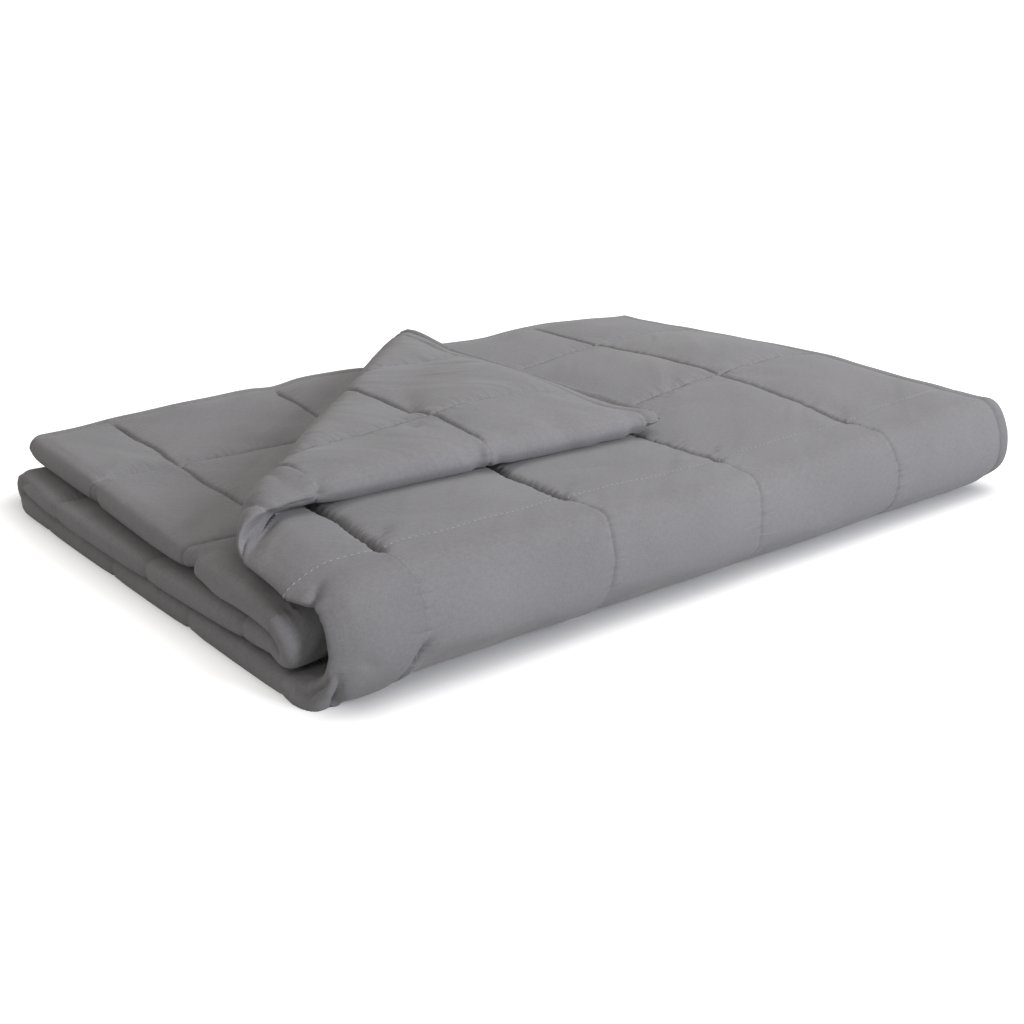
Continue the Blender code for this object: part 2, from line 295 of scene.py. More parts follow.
# Small puckers across the seams: pitch, height, how far they run from the seam, and how much they slant
PUCKER_PITCH = 12.0 * MM
PUCKER_HEIGHT = 1.0 * MM
PUCKER_LENGTH = 9.0 * MM
PUCKER_SLANT = 0.25

# Where the seeds of the seams' uneven waves start, so that no two seams are alike
COLUMN_GROOVES, ROW_GROOVES, ROW_PUCKERS = 9, 31, 20

# Seams that gather the cloth, with ripples along them. Columns of the table:
# column, first row, last row, extra depth, half width
GATHERS = [
    (0.5, 2.2, 2.98, 3.2 * MM, 2.8 * MM),
    (1.5, 2.2, 2.95, 3.0 * MM, 2.8 * MM),
]
GATHER_PITCH = 7.0 * MM
GATHER_RIPPLE = 0.5
GATHER_STARTS = 0.25
GATHER_ENDS = 0.16
GATHER_PAST = 0.12

# Low on the front the cloth turns under. Columns of the table:
# column, row where it turns under, how far it goes in
UNDER_COLUMNS, UNDER_ROWS, UNDER_DEPTHS = np.array([
    (0.00, 3.72, 0.0 * MM),
    (0.42, 3.66, 0.0 * MM),
    (0.50, 3.60, 2.0 * MM),
    (0.54, 3.57, 3.6 * MM),
    (0.76, 3.60, 3.6 * MM),
    (0.98, 3.63, 3.4 * MM),
    (1.24, 3.68, 3.2 * MM),
    (1.46, 3.72, 2.4 * MM),
    (1.52, 3.64, 3.2 * MM),
    (1.70, 3.64, 3.2 * MM),
    (1.89, 3.65, 3.0 * MM),
    (2.11, 3.69, 2.8 * MM),
    (2.46, 3.73, 2.0 * MM),
    (2.54, 3.66, 2.4 * MM),
    (3.46, 3.71, 2.0 * MM),
    (4.50, 3.72, 1.6 * MM),
]).T
UNDER_TURN = 0.11
UNDER_LAST_ROW = 4.05
UNDER_LAST_FADE = 0.12

# A crease is deepest at its middle and shallower at its ends, and its sides fall as exp(-distance^sharpness)
CREASE_DEEPER = 1.5
CREASE_AT_ENDS = 0.4
CREASE_SHARPNESS = 1.3

# The main creases. A trough has a depth, a ridge a depth below nothing. Columns of the table:
# start column, start row, end column, end row, depth, half width
CREASES = [
    (-0.10, 2.32, 0.03, 2.27, 2.6 * MM, 2.0 * MM),
    (0.03, 2.27, 0.01, 2.07, 3.6 * MM, 2.0 * MM),
    (0.00, 2.58, 0.06, 2.38, 3.0 * MM, 2.0 * MM),
    (0.06, 2.38, 0.05, 2.15, 1.4 * MM, 2.0 * MM),
    (0.05, 2.60, 0.26, 2.44, 2.0 * MM, 2.2 * MM),
    (0.12, 2.48, 0.24, 2.30, 1.8 * MM, 2.2 * MM),
    (-0.28, 2.08, -0.12, 2.14, 1.2 * MM, 3.0 * MM),
    (-0.62, 1.07, -0.72, 0.90, 2.2 * MM, 3.0 * MM),
    (-0.46, 1.22, -0.30, 1.14, 2.2 * MM, 2.6 * MM),
    (-0.78, 1.34, -0.66, 1.42, 2.0 * MM, 2.6 * MM),
    (-0.70, 0.98, -1.05, 0.80, 1.0 * MM, 4.5 * MM),
    (-0.05, 0.97, 0.04, 0.92, 1.6 * MM, 3.0 * MM),
    (-0.20, 0.94, -0.04, 0.84, 1.2 * MM, 3.2 * MM),
    (-0.22, 0.30, 0.05, 0.34, 3.2 * MM, 2.6 * MM),
    (-0.14, 0.16, 0.05, 0.18, 2.6 * MM, 2.4 * MM),
    (-0.16, 0.58, 0.02, 0.55, 2.0 * MM, 2.6 * MM),
    (-0.05, 1.98, 0.03, 2.02, 2.6 * MM, 3.5 * MM),
    (-0.05, 1.04, 0.03, 1.06, 2.6 * MM, 3.5 * MM),
    (0.53, 3.55, 0.46, 3.68, 4.4 * MM, 2.6 * MM),
    (0.46, 3.68, 0.36, 3.84, 3.0 * MM, 3.0 * MM),
    (-0.04, 3.17, 0.09, 3.11, 3.6 * MM, 2.6 * MM),
    (-0.02, 3.26, 0.12, 3.24, -1.2 * MM, 3.5 * MM),
    (-0.02, 3.92, 0.01, 3.62, 3.4 * MM, 1.7 * MM),
    (0.04, 3.60, 0.09, 3.84, 3.0 * MM, 1.7 * MM),
    (0.10, 3.52, 0.22, 3.60, 1.0 * MM, 3.0 * MM),
    (-0.21, 12.40, 0.00, 12.22, 1.6 * MM, 3.5 * MM),
    (-0.30, 12.34, -0.12, 12.10, 1.2 * MM, 3.5 * MM),
    (0.10, 12.02, -0.04, 11.82, 2.2 * MM, 3.0 * MM),
    (0.06, 11.94, -0.16, 11.74, 1.6 * MM, 3.0 * MM),
    (0.04, 11.70, -0.02, 11.20, -1.4 * MM, 4.0 * MM),
    (-0.05, 9.01, 0.07, 8.98, 1.1 * MM, 2.4 * MM),
    (-0.05, 10.02, 0.07, 9.99, 1.1 * MM, 2.4 * MM),
    (-0.05, 8.03, 0.07, 8.00, 1.1 * MM, 2.4 * MM),
    (-0.04, 9.62, 0.02, 9.56, 1.4 * MM, 2.4 * MM),
    (-0.06, 5.02, 0.05, 4.97, 1.1 * MM, 2.4 * MM),
    (-0.06, 6.03, 0.05, 5.99, 1.1 * MM, 2.4 * MM),
    (-0.02, 7.44, 0.03, 7.62, 2.6 * MM, 2.4 * MM),
    (0.00, 7.34, 0.05, 7.48, 2.2 * MM, 2.4 * MM),
    (-0.05, 12.96, 0.06, 12.92, 1.8 * MM, 3.0 * MM),
    (-0.90, 13.55, -1.42, 13.20, 1.1 * MM, 6.0 * MM),
    (-0.65, 13.30, -1.30, 12.85, 1.0 * MM, 6.0 * MM),
    (-0.20, 13.50, -0.48, 13.10, 0.8 * MM, 6.0 * MM),
    (-0.60, 12.85, -1.20, 12.30, 1.2 * MM, 6.0 * MM),
    (-0.10, 12.80, -0.45, 12.60, 0.9 * MM, 5.0 * MM),
    (-1.60, 13.60, -2.20, 13.20, 1.2 * MM, 6.0 * MM),
    (0.60, 2.70, 0.95, 2.86, 0.9 * MM, 5.0 * MM),
    (1.60, 2.60, 2.10, 2.80, 0.9 * MM, 6.0 * MM),
    (1.58, 3.12, 1.95, 3.30, 0.9 * MM, 5.0 * MM),
    (2.05, 1.55, 2.42, 1.90, 0.9 * MM, 6.0 * MM),
    (2.60, 2.12, 3.10, 2.30, 1.0 * MM, 6.0 * MM),
    (3.56, 2.10, 3.80, 2.45, 0.8 * MM, 6.0 * MM),
]

# The cloth's grid: lines at these millimetres from a seam where the cloth shows and where it is covered, at
# these shares of the hem's band, and more where it turns, as first place, last place and count
LINES_IN_SIGHT = [0, 0.7, 1.6, 3, 5, 8, 12, 17, 23, 30, 38, 46.5, 55.5]
LINES_COVERED = [0, 5, 22]
LINES_IN_HEM = np.array([0, 0.03, 0.13, 0.3, 0.5, 0.72, 0.86, 0.94, 1.0, 1.08, 1.2])
COLUMNS_BY_FOLD = [(0, 0.08, 12), (0.08, 0.5, 20)]
ROWS_IN_TURNS = [(2.02, 2.98, 48), (3.1, 4.0, 50), (7.25, 7.6, 14), (10.3, 11.0, 24)]
CLOSEST_ROWS = 0.002
FINE_BY_HEM_OUTSIDE = 2 * HEM_BAND
FINE_BY_HEM_INSIDE = 1.3 * HEM_BAND
MOST_TRIANGLES = 190000
TINY = 1e-6

# The thread of the quilting and of the hems. How far each stitch bows up and how deep its ends lie, in a
# groove and where it lies high, are counted in its radius
STITCH_PITCH = 3.8 * MM
STITCH_LENGTH = 2.7 * MM
STITCH_RINGS = 7
THREAD_RADIUS = 0.28 * MM
THREAD_SIDES = 6
THREAD_LIFT = 0.15 * MM
THREAD_BOW = 1.6
THREAD_DEEP = 2.4
THREAD_HIGH = 1.0
THREAD_TAPER = 0.98
NO_STITCH_RUNS = (0.3, 0.2, 1.0)
SEAM_STEPS = 600

# The cotton's pattern: sizes along and across the cloth, heights of its bump, and the wrinkles' slant in
# radians and share on the lower half
DRAWN_THREADS = 0.9 * MM
SLUB_LENGTH = 4 * MM
WRINKLE_SIZE = (90 * MM, 24 * MM)
WRINKLE_SLANT = 0.7
WRINKLE_HEIGHT = 5.5 * MM
WRINKLE_PATCHES = (90 * MM, 90 * MM)
WRINKLED_LOWER_HALF = 0.42
FINE_PUCKER_LENGTH = 45 * MM
FINE_PUCKER_PITCH = 5 * MM
FINE_PUCKER_REACH = 7 * MM
FINE_PUCKER_HEIGHT = 2.4 * MM

# The studio: its sky, its lights and its paper floor. Columns of the lights' table:
# name, place, aim, size, watts, colour
SKY = 0.415
SKY_SEEN = 1.2
LIGHTS = [
    ("right_light", (3.4, -0.2, 2.8), (0.1, 0, 0.05), 2.8, 18.0, "f8f9ff"),
    ("front_light", (1.3, -2.9, 1.4), (0.0, -0.1, 0.04), 1.2, 87.0, "f5f7ff"),
    ("left_light", (-2.6, -0.9, 0.8), (0, 0, 0.04), 2.0, 9.0, "fffdfa"),
    ("top_light", (0.27, -0.02, 0.82), (0.27, -0.02, 0), 0.7, 2.4, "fffdfa"),
]
FLOOR_REACH = 6.0
FLOOR_WHITE = 0.78
FLOOR_WHITE_TO_CLOTH = 0.5
# Painted light: the floor glows to the camera, from none at a slanted box round the packet to full across a
# band, which sets the width of the shadow beside it
PAINTED_FLOOR_GLOW = 0.7
FLOOR_BAND_FROM = (0.256, 0.190, 0)
FLOOR_BAND_SLANT = 0.09
FLOOR_BAND = 48 * MM

# The camera stands at the photograph's place: it looks at a point near the front left
CAMERA_AIM = (-0.0868, -0.1156, 0.0400)
CAMERA_AZIMUTH = -36.898
CAMERA_ELEVATION = 20.585
CAMERA_DISTANCE = 0.7072
CAMERA_LENS = 41.10


def smooth(share):
    """0 to 1, level at both ends: 3 t^2 - 2 t^3."""
    share = np.clip(share, 0, 1)
    return share * share * (3 - 2 * share)


def bump(distance, width):
    """A soft rise: 1 at no distance, fading as exp(-(distance / width)^2)."""
    return np.exp(-((distance / width) ** 2))


def through(knots, values, at):
    """A smooth cubic through the values at the knots, level at both ends. values may be one row per knot."""
    at = np.clip(at, knots[0], knots[-1])
    index = np.clip(np.searchsorted(knots, at, side="right") - 1, 0, len(knots) - 2)
    span = np.diff(knots)
    rise = np.diff(values, axis=0) / span.reshape((-1,) + (1,) * (values.ndim - 1))
    slope = np.zeros_like(values)
    slope[1:-1] = (rise[:-1] + rise[1:]) / 2
    t = (at - knots[index]) / span[index]
    which = (index,) if values.ndim == 1 else (index, np.arange(len(at)))
    after = (index + 1,) + which[1:]
    return (
        (1 + 2 * t) * (1 - t) ** 2 * values[which]
        + t * (1 - t) ** 2 * span[index] * slope[which]
        + t * t * (3 - 2 * t) * values[after]
        + t * t * (t - 1) * span[index] * slope[after]
    )


def table_at(rows, columns, table, row, column):
    """A table's value at any row and column, smooth both ways."""
    down = np.array([through(rows, part, row.ravel()) for part in table.T])
    return through(columns, down, column.ravel()).reshape(row.shape)


def half_turn(depth, height, reach, radius, forward, sag=0.0):
    """Points of a half turn that rises by two radii, or drops by them where radius is negative.

    A turn that sags reaches less far where it starts and further where it ends.
    """
    angle = np.linspace(0, np.pi, PATH_STEPS)
    out = reach * np.sin(angle) * (1 - sag * np.cos(angle))
    return np.stack([depth + (-out if forward else out), height + radius * (1 - np.cos(angle))], 1)


def run(start, end, height):
    """Points of a level run from one depth to another."""
    depth = np.linspace(start, end, PATH_STEPS)
    return np.stack([depth, np.full_like(depth, height)], 1)


def double_layer_path():
    """The middle line of the double layer as (depth, height) points, one list for each run and turn."""
    third = BED + RUN_PITCH
    second = BED + 2 * RUN_PITCH
    drop = (BED - TOP_MIDDLE) / 2
    return [
        run(TOP_HEM_DEPTH, NEAR_TURN_DEPTH, TOP_MIDDLE),
        half_turn(NEAR_TURN_DEPTH, TOP_MIDDLE, NEAR_TURN_REACH, drop, True, NEAR_TURN_SAG),
        run(NEAR_TURN_DEPTH, FAR_TURN_DEPTH, BED),
        half_turn(FAR_TURN_DEPTH, BED, TURN_RADIUS, TURN_RADIUS, False),
        run(FAR_TURN_DEPTH, INNER_TURN_DEPTH, third),
        half_turn(INNER_TURN_DEPTH, third, TURN_RADIUS, TURN_RADIUS, True),
        run(INNER_TURN_DEPTH, INNER_HEM_DEPTH, second),
    ]


class Path:
    """The double layer's middle line by row: where a row lies, and which way the line runs there.

    The line goes straight on past both ends, for a hem that drifts outwards.
    """

    def __init__(self):
        pieces = double_layer_path()
        points = np.concatenate(pieces)
        steps = np.linalg.norm(np.diff(points, axis=0), axis=1)
        line = points[np.concatenate([[True], steps > TINY])]
        length = np.concatenate([[0], np.cumsum(steps[steps > TINY])])
        before = line[0] + (line[0] - line[1]) / length[1] * PAST_ENDS
        after = line[-1] + (line[-1] - line[-2]) / (length[-1] - length[-2]) * PAST_ENDS
        self.points = np.concatenate([[before], line, [after]])
        self.length = np.concatenate([[-PAST_ENDS], length, [length[-1] + PAST_ENDS]])
        self.row_length = np.array([self.seam_length(pieces, *seam) for seam in ROW_SEAMS])

    def seam_length(self, pieces, which, depth):
        """How far along the line a run passes a depth."""
        line = pieces[which]
        before = sum(np.linalg.norm(np.diff(piece, axis=0), axis=1).sum() for piece in pieces[:which])
        return before + abs(depth - line[0, 0])

    def at(self, row, drift):
        """(depth, height) at a row moved back by drift, and the unit normal towards the upper half."""
        along = np.interp(row, np.arange(len(self.row_length)), self.row_length) - drift
        place = self.lookup(along)
        tangent = self.lookup(along + TANGENT_REACH) - self.lookup(along - TANGENT_REACH)
        tangent /= np.linalg.norm(tangent, axis=-1, keepdims=True)
        return place, np.stack([tangent[..., 1], -tangent[..., 0]], -1)

    def lookup(self, along):
        """(depth, height) at a length along the line."""
        return np.stack([np.interp(along, self.length, self.points[:, k]) for k in (0, 1)], -1)


def across_fold(column, row, offset):
    """Distance from the left fold and from the double layer's middle, for a column and a cloth offset.

    Near column 0 the cloth is a half circle of half a layer pitch in radius, made boxy or pointed by raising
    its cosine and sine to a power that changes by row; past it, each half is flat.
    """
    radius = LAYER_PITCH / 2
    power = np.interp(row, POINT_ROWS, POINT)
    upper = column > 0
    first = np.where(upper, UPPER_HALF["first_seam"], LOWER_HALF["first_seam"])
    square = np.where(upper, UPPER_HALF["square"], LOWER_HALF["square"])
    first = first - 2 * radius + np.pi / 2 * radius
    squares = np.abs(column)
    by_fold = squares / FIRST_COLUMN * first
    along = np.where(squares < FIRST_COLUMN, by_fold, first + (squares - FIRST_COLUMN) * square)
    quarter = np.pi / 2 * radius
    angle = np.clip(along / radius, 0, np.pi / 2)
    inwards = np.clip(np.cos(angle), 0, 1) ** power
    width = np.where(along < quarter, 2 * radius - (radius + offset) * inwards,
                     2 * radius + along - quarter)
    rise = (radius + offset) * np.sin(angle) ** power
    return width, np.where(upper, rise, -rise)


def lie(width, depth):
    """How thick the packet is at a place, against an even one."""
    return table_at(HEIGHT_DEPTHS, HEIGHT_WIDTHS, TOP_HEIGHTS, depth, width) / EVEN_TOP


def turned_back(width, depth, rise):
    """The top run past the slanting line: a roll of half a turn, then a flap that settles on the top.

    Returns the plan place, the height over the top run's middle, and the distance past the line.
    """
    line = CORNER_BACK - CORNER_FRONT
    length = np.hypot(*line)
    line = line / length
    out = np.array([-line[1], line[0]])
    past = (width - CORNER_FRONT[0]) * out[0] + (depth - CORNER_FRONT[1]) * out[1]
    share = ((width - CORNER_FRONT[0]) * line[0] + (depth - CORNER_FRONT[1]) * line[1]) / length
    share = np.clip(share, 0, 1)
    radius = ROLL_FRONT + (ROLL_BACK - ROLL_FRONT) * share
    settle = SETTLE_FRONT + (SETTLE_BACK - SETTLE_FRONT) * share
    gone = np.maximum(past, 0)
    angle = np.minimum(gone / radius, np.pi)
    beyond = gone - np.pi * radius
    flat = beyond > 0
    part = np.clip(beyond / settle, 0, 1)
    slope = -(2 * radius - LAID_ON) * 6 * part * (1 - part) / settle
    lean = 1 / np.sqrt(1 + slope**2)
    reach = np.where(flat, -beyond, radius * np.sin(angle))
    settled = LAID_ON + (2 * radius - LAID_ON) * (1 - smooth(part))
    height = np.where(flat, settled, radius * (1 - np.cos(angle)))
    normal_out = np.where(flat, -slope * lean, -np.sin(angle))
    normal_up = np.where(flat, -lean, np.cos(angle))
    belly = np.sin(np.pi * np.clip((gone - np.pi * ROLL_FRONT) / FLAP_LENGTH, 0, 1)) ** 2
    belly *= np.clip((width - CORNER_FRONT[0]) / FLAP_EDGE, 0, 1)
    belly *= np.clip((TOP_HEM_DEPTH - depth) / FLAP_EDGE, 0, 1)
    foot_width = width - gone * out[0]
    foot_depth = depth - gone * out[1]
    shift = reach + rise * normal_out
    place = (foot_width + shift * out[0], foot_depth + shift * out[1])
    return place, height + rise * normal_up + FLAP_RISE * belly, past


def wander(along, which):
    """How far a seam strays, along its length: the sum of two sine waves, shifted from seam to seam."""
    place = along * SQUARE * 2 * np.pi
    slow = np.sin(place / WANDER_LENGTH + 1.9 * which)
    return WANDER * slow + WANDER_SHORT * np.sin(place / WANDER_SHORT_LENGTH - 2.7 * which)


def hem_settling(column, row):
    """How far the cloth moves towards the other half by its hems, as both settle and as the bead curls."""
    to_edge = seam_distances(column, row)[2]
    settles = np.sign(column) * HEM_SETTLES * (1 - smooth(to_edge / HEM_TAPER))
    curled = (1 - smooth(row * SQUARE / HEM_BEAD - 1)) * smooth(column / FADE_QUICK)
    return settles, HEM_CURL * (curled * smooth((HEM_CURL_LAST_COLUMN - column) / HEM_CURL_FADE))


def row_drift(column, row):
    """How much further back than its seam's even place a point of a row lies."""
    drift = table_at(DRIFT_ROWS, DRIFT_COLUMNS, ROW_DRIFT, row, np.abs(column)) + wander(column, row)
    return drift - HEM_INSIDE * smooth(-column / HEM_INSIDE_COLUMNS) * (1 - smooth(row / HEM_INSIDE_ROWS))


def fold_width(width, column, row):
    """A width from the fold as one from the packet's left: the fold's own place, and the seams' lean."""
    strays = wander(row, column) * smooth(np.abs(column) / WANDER_FROM_FOLD)
    width = width + np.interp(row, FOLD_ROWS, FOLD_AT) + strays
    return width - table_at(LEAN_ROWS, DRIFT_COLUMNS, COLUMN_LEAN, row, np.abs(column))


def fold_point(path, column, row, offset):
    """Carries cloth points (column, row, offset from the cloth's middle) to the packet.

    A point is folded across the columns, laid along the path by its row, squeezed to the packet's uneven
    height, and turned back past the slanting line.
    """
    width, rise = across_fold(column, row, offset)
    rise = rise * (1 - np.interp(row, PINCH_ROWS, PINCH) * (1 - smooth(np.abs(column) / PINCH_REACH)))
    settles, curls = hem_settling(column, row)
    rise = rise - settles
    rise = rise - curls
    along_path = path.at(row, row_drift(column, row))
    (depth, height), (lean_depth, lean_height) = (np.moveaxis(part, -1, 0) for part in along_path)
    width = fold_width(width, column, row)
    stands = smooth((row - LAST_ROW + FAR_EDGE_REACH) / FAR_EDGE_REACH)
    lifts = through(FAR_EDGE_COLUMNS, FAR_EDGE_LIFTS, np.abs(column).ravel()).reshape(row.shape)
    height = height + lifts * stands
    depth_flat = depth + rise * lean_depth
    thickness = lie(width, depth_flat)
    hangs = bump(row - HANGS_ROW, HANGS_ROWS) * (1 - smooth(np.abs(column) / HANGS_COLUMNS))
    depth_flat = depth_flat - TURN_FORWARD * hangs
    height_flat = (height + rise * lean_height) * thickness - TURN_DROOP * hangs
    (flap_width, flap_depth), above, past = turned_back(width, depth_flat, rise)
    above = above + rise * (thickness - 1) * (1 - smooth(past / ROLL_FRONT))
    flap_height = TOP_MIDDLE * lie(flap_width, flap_depth) + above
    bent = (row < FIRST_UNTURNED_ROW) & (past > 0)
    place = np.stack([
        np.where(bent, flap_width, width),
        np.where(bent, flap_depth, depth_flat),
        np.where(bent, flap_height, height_flat),
    ], -1)
    ear = np.clip(1 - np.hypot(column - EAR_AT[0], row - EAR_AT[1]) / EAR_REACH, 0, 1)
    place = place - PACKET_MIDDLE + EAR * ear[..., None]
    place[..., 2] = np.maximum(place[..., 2], 0)
    return place


def grid_quads(index):
    """The quads of a grid of point numbers."""
    return np.stack([index[:-1, :-1], index[:-1, 1:], index[1:, 1:], index[1:, :-1]], -1).reshape(-1, 4)


def quilted_panel():
    """How far a panel of sewn squares puffs out, as a square grid of heights.

    The panel is a flat grid, held along its seams and given a little slack. The fill presses it out, and
    the slack gathers in small puckers along the seams. Its outermost half squares are left off.
    """
    count = PANEL_SQUARES * PANEL_CELLS + 1
    line = np.linspace(0, PANEL_SQUARES * SQUARE, count)
    x, y = np.meshgrid(line, line, indexing="ij")
    # The panel starts a little uneven: waves with no common length, so that no two squares are alike
    uneven = np.sin(x * 61 + 2 * np.sin(y * 47)) * np.sin(y * 53 + 2 * np.cos(x * 39))
    uneven += 0.7 * np.sin(x * 173 + y * 31 + 1) * np.sin(y * 151 - x * 43)
    step = np.arange(count) % PANEL_CELLS == PANEL_CELLS // 2
    on_seam = step[:, None] | step[None, :]
    points = np.stack([x, y, np.where(on_seam, 0, 0.6 * MM * uneven)], -1).reshape(-1, 3)
    mesh = bpy.data.meshes.new("panel")
    index = np.arange(count * count).reshape(count, count)
    mesh.from_pydata(points.tolist(), [], grid_quads(index)[:, ::-1].tolist())
    panel = bpy.data.objects.new("panel", mesh)
    bpy.context.scene.collection.objects.link(panel)
    seams = panel.vertex_groups.new(name="seams")
    seams.add(index[on_seam].tolist(), 1.0, "REPLACE")
    cloth = panel.modifiers.new("filled", "CLOTH")
    for name, value in {
        "vertex_group_mass": "seams", "pin_stiffness": 1, "quality": 4, "mass": 0.25,
        "tension_stiffness": 25, "compression_stiffness": 25, "shear_stiffness": 5, "bending_stiffness": 0.5,
        "tension_damping": 10, "compression_damping": 10, "shear_damping": 10, "bending_damping": 0.5,
        "air_damping": 5, "use_pressure": True, "uniform_pressure_force": PANEL_FILL,
        "shrink_min": -PANEL_SLACK,
    }.items():
        setattr(cloth.settings, name, value)
    cloth.settings.effector_weights.gravity = 0
    cloth.point_cache.frame_end = PANEL_FRAMES
    for step in range(1, PANEL_FRAMES + 1):
        bpy.context.scene.frame_set(step)
    filled = panel.evaluated_get(bpy.context.evaluated_depsgraph_get()).to_mesh()
    places = np.empty(count * count * 3, np.float32)
    filled.vertices.foreach_get("co", places)
    bpy.context.scene.frame_set(1)
    bpy.data.objects.remove(panel)
    inner = slice(PANEL_CELLS // 2, count - PANEL_CELLS // 2)
    return places.reshape(count, count, 3)[inner, inner, 2].astype(float)


def cubic_weights(t):
    """Weights of the four grid points round a place, for a smooth curve through them."""
    return np.stack([
        -0.5 * t + t**2 - 0.5 * t**3,
        1 - 2.5 * t**2 + 1.5 * t**3,
        0.5 * t + 2 * t**2 - 1.5 * t**3,
        -0.5 * t**2 + 0.5 * t**3,
    ])


def panel_at(heights, column, row):
    """The panel's height at a column and row. The panel repeats every few squares."""
    size = len(heights) - 1
    u = ((column - FIRST_COLUMN) * PANEL_CELLS) % size
    v = (row * PANEL_CELLS) % size
    i, j = np.floor(u).astype(int), np.floor(v).astype(int)
    along, down = cubic_weights(u - i), cubic_weights(v - j)
    return sum(
        along[a] * down[b] * heights[(i + a - 1) % size, (j + b - 1) % size]
        for a in range(4)
        for b in range(4)
    )


def seam_distances(column, row):
    """Distance to the nearest column seam, row seam and edge, in metres."""
    to_column_seam = np.abs(np.abs(column) % 1 - FIRST_COLUMN) * SQUARE
    to_row_seam = np.abs(row - np.round(row)) * SQUARE
    to_edge = np.minimum(LAST_COLUMN - np.abs(column), np.minimum(row, LAST_ROW - row)) * SQUARE
    return to_column_seam, to_row_seam, to_edge


def in_sight(column, row):
    """Where the cloth's outer face lies open, or near enough to need a fine grid."""
    upper_half = (column > -SEEN_COLUMNS) & (row < SEEN_FRONT_ROW)
    corner = (column < 0) & (row + CORNER_SLANT * -column < SEEN_CORNER_ROW)
    bared = -column < (row - SEEN_BARED_ROW) * SEEN_BARED_SLANT + SEEN_FOLD_COLUMNS
    second_run = (column < SEEN_COLUMNS) & (row > SEEN_SECOND_RUN_ROW) & bared
    return upper_half | corner | second_run | (np.abs(column) < SEEN_FOLD_COLUMNS)


def under_flap(column, row):
    """1 on the underside of the turned-back corner, which lies on the packet's top."""
    past_line = smooth((FLAP_ROW - row - FLAP_SLANT * column) / FADE_LONG)
    return past_line * smooth((column - FROM_FOLD) / FADE_SHORT)


def free_above(column, row):
    """1 where nothing lies on the cloth, so that its squares can rise higher."""
    upper_half = smooth((column - FROM_FOLD) / FADE_SHORT) * smooth((FRONT_FOOT_ROW - row) / FADE_LONG)
    upper_half = upper_half * (1 - under_flap(column, row))
    corner = smooth((-column - FROM_FOLD) / FADE_SHORT)
    corner = corner * smooth((CORNER_ROW - row + CORNER_SLANT * column) / FADE_LONG)
    second_run = smooth(-column / FADE_SHORT) * smooth((row - BARED_ROW) / FADE_LONG)
    second_run = second_run * smooth(((row - BARED_ROW) * BARED_SLANT + BARED_COLUMN + column) / BARED_FADE)
    return np.clip(upper_half + corner + second_run, 0, 1)


def waver(places, pitch, seed):
    """A smooth uneven wave from 0 to 1 along a line: a new height every pitch, joined smoothly.

    Each height is the fraction of a large sine, so that one seed always gives the same heights.
    """
    steps = places / pitch + seed * 7.31
    whole = np.floor(steps)
    ends = [np.sin((whole + k) * 127.1 + seed * 311.7) * 43758.5453 % 1.0 for k in (0, 1)]
    return ends[0] + (ends[1] - ends[0]) * smooth(steps - whole)


def pucker(to_seam, along, which):
    """Small folds across a seam, each of its own height, fading as exp(-distance / length)."""
    fold = waver(along + PUCKER_SLANT * to_seam, PUCKER_PITCH / 2, which)
    strong = waver(along, 4 * PUCKER_PITCH, which + 3)
    return PUCKER_HEIGHT * (fold - 0.5) * 2 * strong * np.exp(-to_seam / PUCKER_LENGTH)


def seam_pull(column, row):
    """How hard column seams and row seams pull the cloth in, and how far it is on the front, each 0 to 1."""
    front = smooth((row - FRONT_FROM_ROW) / FADE_SHORT) * smooth((FRONT_TO_ROW - row) / FRONT_FOOT_FADE)
    front = front * smooth((column + FRONT_PAST_FOLD) / FADE_SHORT)
    by_column = 1 + (np.interp(np.abs(column), FRONT_SEAMS, FRONT_PULL) - 1) * front
    top = bump(row - TOP_OF_FRONT_ROW, FADE_LONG) * smooth((column + TOP_PAST_FOLD) / FADE_SHORT)
    wide = FOLD_PULL_COLUMNS + FOLD_PULL_WIDER * bump(row - FOLD_PULL_WIDER_ROW, FOLD_PULL_WIDER_ROWS)
    at_fold = (np.interp(row, FOLD_PULL_ROWS, FOLD_PULL) - 1) * bump(column, wide)
    return by_column, (1 + (TOP_OF_FRONT_PULL - 1) * top) * (1 + at_fold), front


def fall(distance, slope):
    """How far the cloth is down beside a seam: a steep fall close to it, and the pillow's wide one."""
    return (1 - PILLOW_SHARE) * np.exp(-distance / slope) + PILLOW_SHARE * np.exp(-distance / PILLOW)


def highest_offset(column, row):
    """How far a square may puff: more where nothing lies on it, less under the flap and on its roll."""
    highest = PUFFED + (PUFFED_IN_SIGHT - PUFFED) * free_above(column, row)
    highest = highest - (PUFFED - AT_SEAM) * under_flap(column, row)
    on_roll = bump(row + FLAP_SLANT * np.abs(column) - ROLL_ROW, FADE_LONG) * smooth(-column / FADE_QUICK)
    return highest - ROLL_FLATTENED * on_roll * smooth((ROLL_FLAT_ROW - row) / ROLL_FLAT_FADE)


def tightness(along, which):
    """How tight a seam's groove is drawn, uneven along the seam."""
    return TIGHT_LEAST + TIGHT_UNEVEN * waver(along * SQUARE, TIGHT_PITCH, which)


